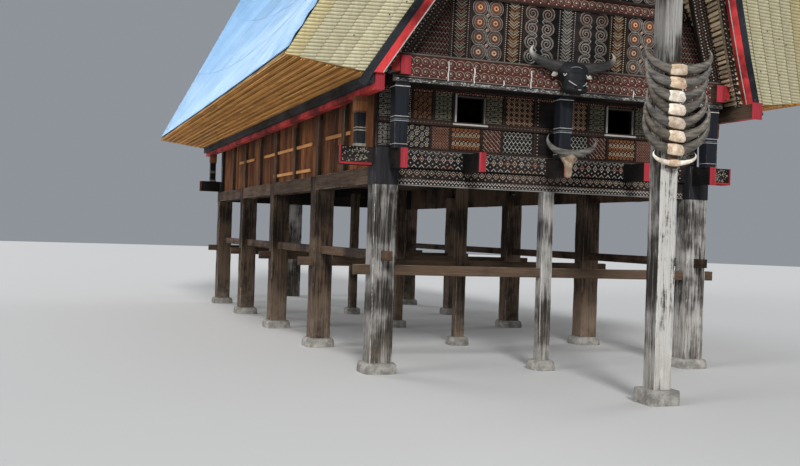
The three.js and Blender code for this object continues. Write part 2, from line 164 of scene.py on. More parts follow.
@dataclass
class Shell:
    """Closed surfaces in one mesh. Each point has a tint, a tone, an edge mark and a grain place."""

    points: list[Array] = field(default_factory=list)
    faces: list[Array] = field(default_factory=list)
    count: int = 0

    def add(self, points: Array, faces: Array) -> None:
        """Adds packed points, and faces as rows of four indices into them, with -1 last for a triangle."""
        self.points.append(points.reshape(-1, points.shape[-1]))
        self.faces.append(np.where(faces < 0, -1, faces + self.count))
        self.count += len(self.points[-1])

    def tubes(
        self,
        rings: Array,
        tint: Array | Colour = (1.0, 1.0, 1.0),
        tone: Array | float = 0.5,
        edge: Array | float = 0.0,
        grain: Array | None = None,
        loop: bool = False,
    ) -> None:
        """Adds closed bars: rings[k, n, m] is point m round ring n of bar k, and a fan closes each end.

        Args:
            rings: Points, shape (bars, rings, around, 3).
            tint: One colour, or one for each bar, shape (bars, 3).
            tone: One tone, or one for each bar.
            edge: One mark, or one for each point around.
            grain: Grain places of the same shape as rings.
            loop: True where the last ring joins the first.
        """
        bars, count, around = rings.shape[:3]
        full = packed(rings, np.reshape(tint, (-1, 1, 1, 3)), np.reshape(tone, (-1, 1, 1)), edge, grain)
        index = np.arange(bars * count * around).reshape(bars, count, around)
        wrap = np.concatenate([index, index[..., :1]], 2)
        if loop:
            wrap = np.concatenate([wrap, wrap[:, :1]], 1)
        corners = [wrap[:, :-1, :-1], wrap[:, :-1, 1:], wrap[:, 1:, 1:], wrap[:, 1:, :-1]]
        faces = [np.stack(corners, -1).reshape(-1, 4)]
        points = [full.reshape(-1, full.shape[-1])]
        for ring, turn, first in () if loop else ((0, 1, 0), (count - 1, -1, bars)):
            middle = np.arange(bars)[:, None] + index.size + first
            here = wrap[:, ring, ::turn]
            fan = [
                np.broadcast_to(middle, (bars, around)),
                here[:, 1:],
                here[:, :-1],
                np.full((bars, around), -1),
            ]
            faces.append(np.stack(fan, -1).reshape(-1, 4))
            points.append(full[:, ring].mean(1))
            points[-1][:, EDGE] = 0.0
        self.add(np.concatenate(points), np.concatenate(faces))

    def block(
        self, steps: Sequence[int], place: Callable[[Array, Array, Array], Array], **look: Any
    ) -> None:
        """Adds a box whose surface points are moved by a rule; its seams are welded by build.

        Args:
            steps: Divisions along the three directions.
            place: Gives points from fractions 0 to 1 along the three directions.
            **look: Tint, tone or edge.
        """
        for axis in range(3):
            first, second = [a for a in range(3) if a != axis]
            a, b = np.meshgrid(
                np.linspace(0, 1, steps[first] + 1), np.linspace(0, 1, steps[second] + 1), indexing="ij"
            )
            for level in (0.0, 1.0):
                share = [a, a, a]
                share[first], share[second], share[axis] = a, b, np.full_like(a, level)
                points = place(*share)
                index = np.arange(a.size).reshape(a.shape)
                corners = [index[:-1, :-1], index[1:, :-1], index[1:, 1:], index[:-1, 1:]]
                self.add(packed(points, **look), np.stack(corners, -1).reshape(-1, 4))

    def bars(
        self,
        starts: Any,
        ends: Any,
        size: Any,
        up: Sequence[float] = (0.0, 0.0, 1.0),
        bevel: float = 0.006,
        rough: float = 0.0,
        count: int = 2,
        fine: int = 1,
        taper: float = 1.0,
        seed: int = 1,
        tint: Array | Colour = (1.0, 1.0, 1.0),
        tone: Array | float = 0.5,
    ) -> None:
        """Adds straight hewn bars: a box profile with rounded corners carried from start to end, its
        surface moved outwards by long wavering furrows.

        Args:
            starts: First points of the bars' middle lines.
            ends: Last points.
            size: Width across and height towards up, for all bars or for each.
            up: Direction of the height.
            bevel: Width of the rounded corners.
            rough: Depth of the furrows.
            count: Rings along each bar.
            fine: Points on each flat side.
            taper: Size at the end over size at the start.
            seed: Seed of the furrows.
            tint: Colour of all bars or of each.
            tone: Tone of all bars or of each.
        """
        starts = np.atleast_2d(np.asarray(starts, float))
        ends = np.atleast_2d(np.asarray(ends, float))
        bars = len(starts)
        half = np.broadcast_to(np.asarray(size, float), (bars, 2)) / 2
        axis = unit(ends - starts)
        side = unit(np.cross(axis, np.broadcast_to(np.asarray(up, float), axis.shape)))
        top = np.cross(side, axis)
        flat, round_, mark = profile(fine)
        share = np.linspace(0, 1, count)
        grow = mix(1.0, taper, share)[None, :, None, None]
        cross = flat * (half[:, None, None, :] * grow - bevel) + round_ * bevel
        rng = np.random.default_rng(seed)
        if rough:
            knots = rng.uniform(-1, 0, (bars, max(2, count // 3), len(flat)))
            cross = cross + unit(round_) * rough * stretched(knots, count)[..., None]
        middle = starts[:, None] + (ends - starts)[:, None] * share[None, :, None]
        across, upward = cross[..., :1] * side[:, None, None], cross[..., 1:] * top[:, None, None]
        rings = middle[:, :, None] + across + upward
        long = np.linalg.norm(ends - starts, axis=1)[:, None, None, None] * share[None, :, None, None]
        shift = rng.uniform(0, 9, (bars, 1, 1, 3))
        place = np.concatenate([np.broadcast_to(long, cross[..., :1].shape), cross], -1) + shift
        self.tubes(rings, tint, tone, mark, place)

    def uprights(self, feet: Any, height: Any, size: Any, **look: Any) -> None:
        """Adds bars that stand on their feet, with their thickness along Y."""
        feet = np.atleast_2d(np.asarray(feet, float))
        self.bars(feet, feet + np.array((0.0, 0.0, 1.0)) * height, size, up=(0, 1, 0), **look)

    def build(
        self, name: str, material: Material, slot: str, stands_for: Sequence[str] = ()
    ) -> bpy.types.Object:
        """Makes the piece: welds its seams, turns its faces outwards and puts it on the frame.

        Args:
            name: Name of the piece.
            material: Its finish.
            slot: Material slot; not used.
            stands_for: CAD nodes that it replaces.

        Returns:
            The new object.
        """
        faces = np.concatenate(self.faces)
        points = np.concatenate(self.points).astype(np.float32)
        sides = np.where(faces[:, 3] < 0, 3, 4)
        corners = faces[faces >= 0]
        mesh = bpy.data.meshes.new(name)
        mesh.vertices.add(self.count)
        mesh.vertices.foreach_set("co", points[:, PLACE].ravel())
        mesh.loops.add(len(corners))
        mesh.loops.foreach_set("vertex_index", corners.astype(np.int32))
        mesh.polygons.add(len(faces))
        mesh.polygons.foreach_set("loop_start", (np.cumsum(sides) - sides).astype(np.int32))
        layers = (
            ("tint", "FLOAT_COLOR", "color", TINT),
            ("edge", "FLOAT", "value", EDGE),
            ("grain", "FLOAT_VECTOR", "vector", RUN),
        )
        for label, kind, key, columns in layers:
            layer = mesh.attributes.new(label, kind, "POINT")
            layer.data.foreach_set(key, points[:, columns].ravel())
        mesh.update(calc_edges=True)
        work = bmesh.new()
        work.from_mesh(mesh)
        bmesh.ops.remove_doubles(work, verts=work.verts, dist=WELD)
        bmesh.ops.recalc_face_normals(work, faces=work.faces)
        work.to_mesh(mesh)
        work.free()
        mesh.shade_smooth()
        mesh.set_sharp_from_angle(angle=SHARP_ANGLE)
        piece = bpy.data.objects.new(name, mesh)
        bpy.context.scene.collection.objects.link(piece)
        mesh.materials.append(material)
        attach(piece, BODY)
        if stands_for:
            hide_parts(*stands_for)
        triangles = int((sides - 2).sum())
        LOG.info("%s: %d triangles", name, triangles)
        return piece


def make_piece(
    name: str, material: Material, slot: str, fill: Callable[[Shell], None], stands_for: Sequence[str] = ()
) -> None:
    """Makes a piece from the surfaces that fill adds to a shell."""
    shell = Shell()
    fill(shell)
    shell.build(name, material, slot, stands_for)


def profile(fine: int) -> tuple[Array, Array, Array]:
    """Points round a box profile as signs on its flat half size and on its rounded corner.

    Args:
        fine: Extra points on each flat side.

    Returns:
        Signs on the flat part, signs on the corner and the worn-edge mark of each point.
    """
    corner = np.array([[1.0, 0.0], [0.72, 0.72], [0.0, 1.0]])
    between = np.linspace(1, -1, fine + 2)[1:-1]
    flat, round_, mark = [], [], []
    for turn in range(4):
        cos, sin = ((1, 0), (0, 1), (-1, 0), (0, -1))[turn]
        spin = np.array([[cos, -sin], [sin, cos]])
        flat += [spin @ np.ones(2)] * 3 + [spin @ np.array([x, 1.0]) for x in between]
        round_ += [spin @ c for c in corner] + [spin @ np.array([0.0, 1.0])] * fine
        mark += [0.35, 1.0, 0.35] + [0.0] * fine
    return np.array(flat), np.array(round_), np.array(mark)


def stretched(values: Array, count: int) -> Array:
    """Values along axis 1 spread smoothly over count places."""
    old = values.shape[1]
    place = np.linspace(0, old - 1, count)
    low = np.minimum(place.astype(int), old - 2)
    share = (place - low)[None, :, None]
    share = share * share * (3 - 2 * share)
    return mix(values[:, low], values[:, low + 1], share)


# Node groups and finishes


@dataclass
class Wiring:
    """Short calls that add nodes to a tree."""

    tree: NodeTree

    def add(self, kind: str, inputs: dict[Any, Any] | None = None, **settings: Any) -> bpy.types.Node:
        """Adds a shader node.

        Args:
            kind: The node's type after ShaderNode.
            inputs: Sockets or values by input name or number.
            **settings: Properties of the node.

        Returns:
            The node.
        """
        node = self.tree.nodes.new("ShaderNode" + kind)
        for key, value in settings.items():
            setattr(node, key, value)
        for key, value in (inputs or {}).items():
            if isinstance(value, bpy.types.Node):
                value = value.outputs[0]
            if isinstance(value, Socket):
                self.tree.links.new(value, node.inputs[key])
            else:
                node.inputs[key].default_value = value
        return node

    def attribute(self, name: str) -> Any:
        """The outputs of a named attribute of the mesh."""
        return self.add("Attribute", attribute_name=name).outputs

    def shaded(self, base: Any, value: Any, low: float, high: float) -> Socket:
        """A colour made darker or lighter as value goes from 0 to 1."""
        shade = self.ramp(value, 0.0, 1.0, low, high)
        grey = self.add("CombineColor", {0: shade, 1: shade, 2: shade}).outputs[0]
        return self.blend(1.0, base, grey, "MULTIPLY")

    def blend(self, share: Any, first: Any, second: Any, mode: str = "MIX") -> Socket:
        """A colour between two, or two colours combined by a mode."""
        inputs = {0: share, 6: colour(first), 7: colour(second)}
        return self.add("Mix", inputs, data_type="RGBA", blend_type=mode).outputs[2]

    def maths(self, operation: str, first: Any, second: Any = 0.0) -> Socket:
        """One operation on two numbers."""
        return self.add("Math", {0: first, 1: second}, operation=operation).outputs[0]

    def plus(self, first: Any, second: Any) -> Socket:
        """The sum of two numbers."""
        return self.maths("ADD", first, second)

    def times(self, first: Any, second: Any) -> Socket:
        """The product of two numbers."""
        return self.maths("MULTIPLY", first, second)

    def ramp(self, value: Any, low: float, high: float, bottom: float = 0.0, top: float = 1.0) -> Socket:
        """A smooth step from bottom to top as value goes from low to high."""
        inputs = {"Value": value, "From Min": low, "From Max": high, "To Min": bottom, "To Max": top}
        return self.add("MapRange", inputs, interpolation_type="SMOOTHSTEP").outputs[0]

    def noise(self, place: Any, scale: float, detail: float = 4.0, rough: float = 0.55) -> Socket:
        """A noise value at a place."""
        inputs = {"Vector": place, "Scale": scale, "Detail": detail, "Roughness": rough}
        return self.add("TexNoise", inputs).outputs[0]


def colour(value: Any) -> Any:
    """A colour as four numbers, or a socket as it is."""
    return (*value, 1.0) if isinstance(value, tuple) else value


def group(
    name: str,
    inputs: dict[str, str],
    outputs: dict[str, str],
    wire: Callable[[Wiring, Any], dict[str, Any]],
) -> NodeTree:
    """Builds a shared effect as a node group.

    Args:
        name: Name of the group.
        inputs: Kind of each input socket.
        outputs: Kind of each output socket.
        wire: Adds the nodes and gives the output sockets.

    Returns:
        The node group.
    """
    tree = bpy.data.node_groups.new(name, "ShaderNodeTree")
    for label, kind in inputs.items():
        tree.interface.new_socket(name=label, in_out="INPUT", socket_type="NodeSocket" + kind)
    for label, kind in outputs.items():
        tree.interface.new_socket(name=label, in_out="OUTPUT", socket_type="NodeSocket" + kind)
    entry = tree.nodes.new("NodeGroupInput")
    leave = tree.nodes.new("NodeGroupOutput")
    for label, socket in wire(Wiring(tree), entry.outputs).items():
        tree.links.new(socket, leave.inputs[label])
    return tree


def wire_grain(wiring: Wiring, inputs: Any) -> dict[str, Any]:
    """Grain: fine noise stretched along the wood, and broad soft blotches."""
    scaled = wiring.add("Mapping", {"Vector": inputs["Place"], "Scale": inputs["Stretch"]})
    fibre = wiring.noise(scaled.outputs[0], 1.0, 7.0, 0.68)
    coarse = wiring.add("Mapping", {"Vector": scaled.outputs[0], "Scale": (0.35, 0.35, 0.35)})
    streak = wiring.noise(coarse.outputs[0], 1.0, 3.0, 0.6)
    both = wiring.plus(wiring.times(fibre, 0.6), wiring.times(streak, 0.4))
    return {
        "Fibre": wiring.ramp(both, 0.34, 0.66),
        "Blotch": wiring.ramp(wiring.noise(inputs["Place"], 1.6), 0.35, 0.65),
    }


def wire_wear(wiring: Wiring, inputs: Any) -> dict[str, Any]:
    """Wear: bare wood shows where edge mark, fibre and patch noise together pass a level."""
    patch = wiring.noise(inputs["Place"], 3.3, 6.0, 0.7)
    marks = wiring.plus(wiring.times(inputs["Edge"], 0.42), wiring.times(inputs["Fibre"], 0.3))
    level = wiring.plus(wiring.plus(marks, patch), inputs["Amount"])
    mask = wiring.ramp(level, 1.0, 1.16)
    return {"Colour": wiring.blend(mask, inputs["Paint"], inputs["Bare"]), "Mask": mask}


def wire_dust(wiring: Wiring, inputs: Any) -> dict[str, Any]:
    """Dust: pale earth that fades out with height above the ground."""
    height = wiring.add("SeparateXYZ", {0: inputs["Place"]}).outputs[2]
    near = wiring.ramp(height, 0.9, 0.0)
    share = wiring.times(near, wiring.ramp(wiring.noise(inputs["Place"], 7.0, 5.0), 0.25, 0.75))
    dusty = wiring.blend(wiring.times(share, inputs["Amount"]), inputs["Colour"], (0.26, 0.21, 0.16))
    return {"Colour": dusty}


GRAIN = group(
    "grain", {"Place": "Vector", "Stretch": "Vector"}, {"Fibre": "Float", "Blotch": "Float"}, wire_grain
)
WEAR = group(
    "wear",
    {
        "Place": "Vector",
        "Paint": "Color",
        "Bare": "Color",
        "Edge": "Float",
        "Fibre": "Float",
        "Amount": "Float",
    },
    {"Colour": "Color", "Mask": "Float"},
    wire_wear,
)
DUST = group(
    "dust", {"Place": "Vector", "Colour": "Color", "Amount": "Float"}, {"Colour": "Color"}, wire_dust
)


def surface(name: str, wire: Callable[[Wiring], dict[str, Any]]) -> Material:
    """A material whose shader inputs come from a rule.

    Args:
        name: Name of the material.
        wire: Adds nodes and gives values or sockets for the shader's inputs.

    Returns:
        The material.
    """
    material = bpy.data.materials.new(name)
    material.use_nodes = True
    material.node_tree.nodes.clear()
    wiring = Wiring(material.node_tree)
    shader = wiring.add("BsdfPrincipled", wire(wiring))
    wiring.add("OutputMaterial", {"Surface": shader.outputs[0]})
    return material


@dataclass(frozen=True)
class Finish:
    """What every finish has: a name and a way to become a material."""

    name: str

    def material(self) -> Material:
        """The finish as a material."""
        return surface(self.name, self.wire)

    def wire(self, wiring: Wiring) -> dict[str, Any]:
        """Adds the nodes and gives the shader's inputs."""
        raise NotImplementedError


@dataclass(frozen=True)
class Wood(Finish):
    """Bare or painted wood with grain, worn edges and dust near the ground."""

    light: Colour
    dark: Colour
    bare: Colour = (0.20, 0.16, 0.12)
    wear: float = 0.0
    roughness: float = 0.8
    relief: float = 0.004
    flow: Flow = Flow.PIECE
    painted: bool = False
    dust: float = 0.0
    contrast: float = 0.0
    black_past: float = 0.0
    brown_within: float = 0.0

    def wire(self, wiring: Wiring) -> dict[str, Any]:
        """Colour from grain, board tone and blotches, with bare wood on worn places."""
        own = self.flow in (Flow.PIECE, Flow.LONG)
        place = wiring.add("TexCoord").outputs["Object"]
        run = wiring.attribute("grain")["Vector"] if own else place
        grain = wiring.add("Group", {"Place": run, "Stretch": self.flow.value}, node_tree=GRAIN)
        fibre, blotch = grain.outputs["Fibre"], grain.outputs["Blotch"]
        tint = wiring.attribute("tint")
        tone = tint["Alpha"] if own else blotch
        if self.painted:
            paint = wiring.shaded(tint["Color"], fibre, 0.50, 0.92)
        else:
            level = wiring.times(wiring.plus(fibre, blotch), 0.5)
            if self.contrast:
                level = wiring.ramp(level, self.contrast, 1 - self.contrast)
            paint = wiring.shaded(wiring.blend(level, self.dark, self.light), tone, 0.45, 1.55)
        if self.black_past:
            axes = wiring.add("SeparateXYZ", {0: place}).outputs
            across = wiring.maths("ABSOLUTE", axes[0])
            out = wiring.plus(across, wiring.times(axes[2], BARGE_SLOPE))
            paint = wiring.blend(wiring.ramp(out, self.black_past, self.black_past + BORDER), paint, INK)
        if self.brown_within:
            across = wiring.maths("ABSOLUTE", wiring.add("SeparateXYZ", {0: place}).outputs[0])
            outside = wiring.ramp(across, self.brown_within, self.brown_within + BORDER)
            timber = wiring.blend(level, (0.030, 0.020, 0.014), (0.145, 0.095, 0.065))
            paint = wiring.blend(outside, timber, paint)
        edge = wiring.attribute("edge")["Fac"] if own else 0.0
        inputs = {
            "Place": run,
            "Paint": paint,
            "Bare": colour(self.bare),
            "Edge": edge,
            "Fibre": fibre,
            "Amount": self.wear,
        }
        worn = wiring.add("Group", inputs, node_tree=WEAR)
        earth = {"Place": place, "Colour": worn.outputs[0], "Amount": self.dust}
        dusty = wiring.add("Group", earth, node_tree=DUST)
        matte = wiring.ramp(fibre, 0.0, 1.0, min(self.roughness + 0.12, 1.0), self.roughness - 0.08)
        bump = wiring.add("Bump", {"Strength": 0.8, "Distance": self.relief, "Height": fibre})
        return {
            "Base Color": dusty.outputs[0],
            "Roughness": matte,
            "Normal": bump.outputs[0],
            "Specular IOR Level": 0.16,
        }


@dataclass(frozen=True)
class Sheet(Finish):
    """Painted or bare metal sheet with streaks down the slope, dull spots and a tone for each sheet."""

    light: Colour
    dark: Colour
    stain_and_shade: Colour
    stains: float = 0.3
    metal: float = 0.0
    roughness: float = 0.45

    def wire(self, wiring: Wiring) -> dict[str, Any]:
        """Streaks are noise stretched along the grain place; stains are small sparse spots."""
        run = wiring.attribute("grain")["Vector"]
        tint = wiring.attribute("tint")
        streak = wiring.add("Mapping", {"Vector": run, "Scale": (0.55, 26.0, 26.0)})
        lines = wiring.ramp(wiring.noise(streak.outputs[0], 1.0, 5.0, 0.65), 0.35, 0.68)
        base = wiring.shaded(wiring.blend(lines, self.dark, self.light), tint["Alpha"], 0.84, 1.12)
        base = wiring.blend(1.0, base, tint["Color"], "MULTIPLY")
        broad = wiring.noise(run, 1.3, 6.0, 0.7)
        rust = wiring.ramp(wiring.plus(broad, wiring.times(lines, 0.12)), 0.60, 0.80)
        rust = wiring.times(rust, self.stains)
        # The edge mark pulls towards the stain colour: lap lines, and on the cream bands painted shade in
        # the ripple troughs.
        edge = wiring.attribute("edge")["Fac"]
        base = wiring.blend(wiring.maths("MAXIMUM", rust, wiring.times(edge, 0.75)), base, self.stain_and_shade)
        matte = wiring.ramp(broad, 0.3, 0.7, self.roughness - 0.08, self.roughness + 0.15)
        bump = wiring.add("Bump", {"Strength": 0.35, "Distance": 0.003, "Height": broad})
        return {"Base Color": base, "Roughness": matte, "Metallic": self.metal, "Normal": bump.outputs[0]}


@dataclass(frozen=True)
class Mineral(Finish):
    """Stone, bone or horn: mottled colour with fine pits and streaks."""

    light: Colour
    dark: Colour
    spots: Colour
    scale: float = 9.0
    roughness: float = 0.9
    relief: float = 0.006
    stretch: tuple[float, float, float] = (1.0, 1.0, 1.0)
    pale_tips: float = 0.0

    def wire(self, wiring: Wiring) -> dict[str, Any]:
        """Two noises mix the colours, cells give darker spots, and tips turn pale with the edge mark."""
        run = wiring.attribute("grain")["Vector"]
        place = wiring.add("Mapping", {"Vector": run, "Scale": self.stretch}).outputs[0]
        cloud = wiring.ramp(wiring.noise(place, self.scale, 8.0, 0.65), 0.32, 0.68)
        pits = wiring.noise(place, self.scale * 5, 5.0, 0.7)
        base = wiring.blend(cloud, self.dark, self.light)
        base = wiring.blend(wiring.ramp(pits, 0.56, 0.72, 0.0, 0.7), base, self.spots)
        tint = wiring.attribute("tint")
        base = wiring.shaded(base, tint["Alpha"], 0.6, 1.4)
        base = wiring.blend(1.0, base, tint["Color"], "MULTIPLY")
        edge = wiring.attribute("edge")["Fac"]
        tips = wiring.times(wiring.ramp(edge, 0.5, 0.95), self.pale_tips)
        base = wiring.blend(tips, base, WHITE)
        matte = wiring.ramp(cloud, 0.0, 1.0, min(self.roughness + 0.08, 1.0), self.roughness - 0.1)
        height = wiring.plus(pits, cloud)
        bump = wiring.add("Bump", {"Strength": 0.7, "Distance": self.relief, "Height": height})
        return {"Base Color": base, "Roughness": matte, "Normal": bump.outputs[0]}


CARVED = Wood(
    "carved_paint", WHITE, WHITE, bare=(0.060, 0.036, 0.026), wear=-0.02, relief=0.001, painted=True
)
GROUND = Wood(
    "carved_ground",
    (0.022, 0.015, 0.013),
    (0.006, 0.006, 0.007),
    bare=(0.055, 0.030, 0.022),
    wear=0.02,
    flow=Flow.ALONG_X,
)
GROUND_PIECE = Wood(
    "carved_frame", (0.040, 0.024, 0.018), (0.010, 0.009, 0.009), bare=(0.10, 0.065, 0.05), wear=0.08
)
PAINT = Wood(
    "house_paint",
    WHITE,
    WHITE,
    bare=(0.11, 0.085, 0.075),
    wear=0.02,
    roughness=0.6,
    relief=0.002,
    painted=True,
)
RED_PAINT = Wood(
    "red_paint",
    (0.50, 0.045, 0.040),
    (0.27, 0.020, 0.020),
    bare=(0.20, 0.13, 0.11),
    wear=0.02,
    roughness=0.6,
    flow=Flow.ALONG_Y,
    brown_within=2.347,
)
RED_BOARD = Wood(
    "red_board",
    (0.52, 0.045, 0.045),
    (0.32, 0.022, 0.024),
    bare=(0.24, 0.16, 0.14),
    wear=-0.02,
    roughness=0.6,
    flow=Flow.ALONG_Z,
    black_past=4.4425,
)
BLACK_PAINT = Wood(
    "black_paint",
    (0.022, 0.024, 0.028),
    (0.008, 0.009, 0.012),
    bare=(0.20, 0.21, 0.22),
    wear=0.04,
    roughness=0.55,
    flow=Flow.ALONG_Y,
)
BLACK_BOARD = replace(
    BLACK_PAINT, name="black_board", bare=(0.34, 0.35, 0.36), wear=0.13, roughness=0.5, flow=Flow.ALONG_Z
)
OLD_WOOD = Wood(
    "weathered_wood",
    (0.46, 0.44, 0.41),
    (0.035, 0.029, 0.025),
    bare=(0.56, 0.54, 0.50),
    wear=0.05,
    relief=0.012,
    dust=0.5,
    contrast=0.18,
)
# Brown hewn timber darkened with painted shade, for the pillars under the house.
BROWN_SHADED_WOOD = Wood(
    "brown_hewn_wood",
    (0.165, 0.112, 0.076),
    (0.024, 0.016, 0.012),
    bare=(0.26, 0.20, 0.15),
    wear=0.03,
    relief=0.010,
    dust=0.5,
    contrast=0.12,
)
DARK_WOOD = Wood(
    "dark_wood",
    (0.085, 0.052, 0.032),
    (0.020, 0.013, 0.010),
    bare=(0.16, 0.115, 0.08),
    wear=0.05,
    flow=Flow.ALONG_Y,
    dust=0.4,
)
DARK_CROSS = replace(DARK_WOOD, name="dark_cross_wood", flow=Flow.ALONG_X, dust=0.0)
DARK_UPRIGHT = replace(DARK_WOOD, name="dark_upright_wood", flow=Flow.ALONG_Z, dust=0.0)
DARK_BAR = Wood(
    "dark_hewn_wood",
    (0.13, 0.085, 0.055),
    (0.030, 0.020, 0.014),
    bare=(0.24, 0.18, 0.13),
    wear=0.06,
    relief=0.006,
    dust=0.6,
)
PLANK = Wood(
    "wall_plank",
    (0.235, 0.085, 0.030),
    (0.055, 0.022, 0.011),
    bare=(0.42, 0.20, 0.085),
    wear=0.01,
    relief=0.004,
)
BATTEN = Wood("fresh_batten", (0.66, 0.34, 0.13), (0.40, 0.17, 0.06), bare=(0.7, 0.42, 0.2), wear=0.0)
# Pale wood whose light colour is raised as painted light, since the laths sit in the overhang's shade.
LATH = Wood("roof_lath", (0.86, 0.70, 0.50), (0.26, 0.17, 0.105), bare=(0.80, 0.68, 0.52), wear=0.03)
SOFFIT = Wood(
    "bamboo_strip",
    (0.60, 0.29, 0.070),
    (0.27, 0.115, 0.026),
    bare=(0.70, 0.42, 0.16),
    wear=-0.05,
    relief=0.003,
    flow=Flow.LONG,
)
ROD = Wood("split_bamboo", (0.80, 0.46, 0.16), (0.50, 0.24, 0.07), wear=-0.3, flow=Flow.LONG)
BAMBOO = Wood(
    "bamboo_core",
    (0.30, 0.19, 0.08),
    (0.10, 0.06, 0.025),
    bare=(0.4, 0.28, 0.14),
    wear=0.0,
    flow=Flow.ALONG_Y,
)
# Grey galvanised zinc: its blue base colour is a painted reflection of the sky.
ZINC = Sheet(
    "zinc_sheet",
    (0.195, 0.40, 0.64),
    (0.145, 0.33, 0.57),
    (0.28, 0.33, 0.37),
    stains=0.22,
    metal=0.15,
    roughness=0.42,
)
# The stain colour also paints shade in the ripple troughs of the end bands.
CREAM_SHEET = Sheet(
    "cream_sheet", (0.62, 0.575, 0.39), (0.52, 0.465, 0.28), (0.11, 0.09, 0.06), stains=0.22, roughness=0.55
)
STONE = Mineral("base_stone", (0.34, 0.32, 0.29), (0.15, 0.14, 0.125), (0.08, 0.075, 0.07))
HORN = Mineral(
    "buffalo_horn",
    (0.165, 0.155, 0.135),
    (0.030, 0.028, 0.026),
    (0.17, 0.10, 0.055),
    scale=2.2,
    roughness=0.5,
    relief=0.002,
    stretch=(3, 14, 14),
    pale_tips=0.8,
)
BONE = Mineral(
    "old_bone",
    (0.74, 0.70, 0.62),
    (0.40, 0.33, 0.25),
    (0.12, 0.075, 0.045),
    scale=14.0,
    roughness=0.75,
    relief=0.003,
)
RIDGE_SHEET = Sheet(
    "ridge_sheet",
    (0.40, 0.46, 0.52),
    (0.30, 0.35, 0.42),
    (0.32, 0.24, 0.18),
    stains=0.4,
    metal=0.35,
    roughness=0.42,
)
FLOOR = Mineral(
    "studio_floor", (0.42, 0.418, 0.41), (0.41, 0.408, 0.40), (0.40, 0.398, 0.39), scale=0.4, relief=0.0
)


def assign(names: Sequence[str], finish: Finish) -> None:
    """Gives CAD nodes a finish.

    Args:
        names: CAD nodes.
        finish: Their finish.
    """
    material = finish.material()
    for name in names:
        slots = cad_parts[name].data.materials
        slots.clear()
        slots.append(material)
    LOG.info("%s on %d nodes", finish.name, len(names))


# The roof's shape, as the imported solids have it


@dataclass(frozen=True)
class RoofShape:
    """The saddle roof: straight eaves, a ridge that rises to both ends, ends that lean out with height."""

    lip_x: float = 3.44
    lip_z: float = 3.45
    foot_x: float = 2.36
    foot_z: float = 3.33
    bearing: float = 0.15
    ridge_tip: float = 9.75
    ridge_mid: float = 7.70
    apex_tip: float = 7.33
    apex_mid: float = 6.10
    apex_half: float = 0.13
    saddle: float = 2.2
    lean: float = 0.36
    growth: float = 0.035
    inner_reach: float = 5.89
    outer_reach: float = 5.86

    def reach(self, foot: float, rise: Any) -> Any:
        """How far an end lies from the middle: its foot's reach plus a share and a square of the rise."""
        return foot + self.lean * rise + self.growth * rise**2

    def verge(self, slope: Any) -> Any:
        """Reach of the outer edge at a share of the slope."""
        return self.reach(self.outer_reach, (self.ridge_tip - self.lip_z) * slope)

    def first_slope(self, y: Any) -> Any:
        """Share of the slope where the verge passes a place along Y: the root of the verge's square."""
        past = np.maximum(np.abs(y) - self.outer_reach, 0)
        rise = (np.sqrt(self.lean**2 + 4 * self.growth * past) - self.lean) / (2 * self.growth)
        return rise / (self.ridge_tip - self.lip_z)

    def skin(self, slope: Any, y: Any) -> Array:
        """Outer skin on the right: x falls and z rises evenly to a ridge that follows |along|^saddle."""
        slope, y = np.broadcast_arrays(np.asarray(slope, float), np.asarray(y, float))
        along = np.minimum(np.abs(y) / self.verge(slope), 1.0)
        ridge = mix(self.ridge_mid, self.ridge_tip, along**self.saddle)
        return coords(self.lip_x * (1 - slope), y, mix(self.lip_z, ridge, slope))

    def outward(self, points: Array) -> Array:
        """Direction square to the slope on the right, worked out from a point's x and z."""
        run = np.maximum(self.lip_x - points[..., 0], 1e-3)
        rise = np.maximum(points[..., 2] - self.lip_z, 1.1e-3)
        return unit(coords(rise, np.zeros_like(run), run))

    def lining(self, share: Any, y: Any) -> Array:
        """Underside on the right, from the eave (share 0) to the apex (share 1)."""
        share, y = np.broadcast_arrays(np.asarray(share, float), np.asarray(y, float))
        along = np.minimum(np.abs(y) / self.lining_end(share), 1.0)
        apex = mix(self.apex_mid, self.apex_tip, along**self.saddle)
        return coords(mix(self.foot_x, self.apex_half, share), y, mix(self.foot_z, apex, share))

    def lining_end(self, share: Any) -> Any:
        """Reach of the underside's end at a share from the eave to the apex."""
        return self.reach(self.inner_reach, (self.apex_tip - self.foot_z) * share)

    def core(self, skin: Any, along: Any, slope: Any) -> Array:
        """A point of the thick roof on the right, from its underside (skin 0) to its top (skin 1)."""
        steps = [0, 1 / 7, 6 / 7, 1]
        swing = np.abs(along) ** self.saddle
        share = np.interp(slope, steps, [0, 0, 1, 1])
        low_x = np.interp(slope, steps, [self.foot_x + self.bearing, self.foot_x, self.apex_half, 0])
        low_y = along * self.lining_end(share)
        low_z = mix(self.foot_z, mix(self.apex_mid, self.apex_tip, swing), share)
        high_z = mix(self.lip_z, mix(self.ridge_mid, self.ridge_tip, swing), slope)
        high_y = along * self.verge(slope)
        x = mix(low_x, self.lip_x * (1 - slope), skin)
        return coords(x, mix(low_y, high_y, skin), mix(low_z, high_z, skin))


ROOF = RoofShape()


def sided(points: Array, side: int = 1, end: int = -1) -> Array:
    """Points of the right side and front end put on another side and end."""
    return points * np.array([side, -end, 1.0])


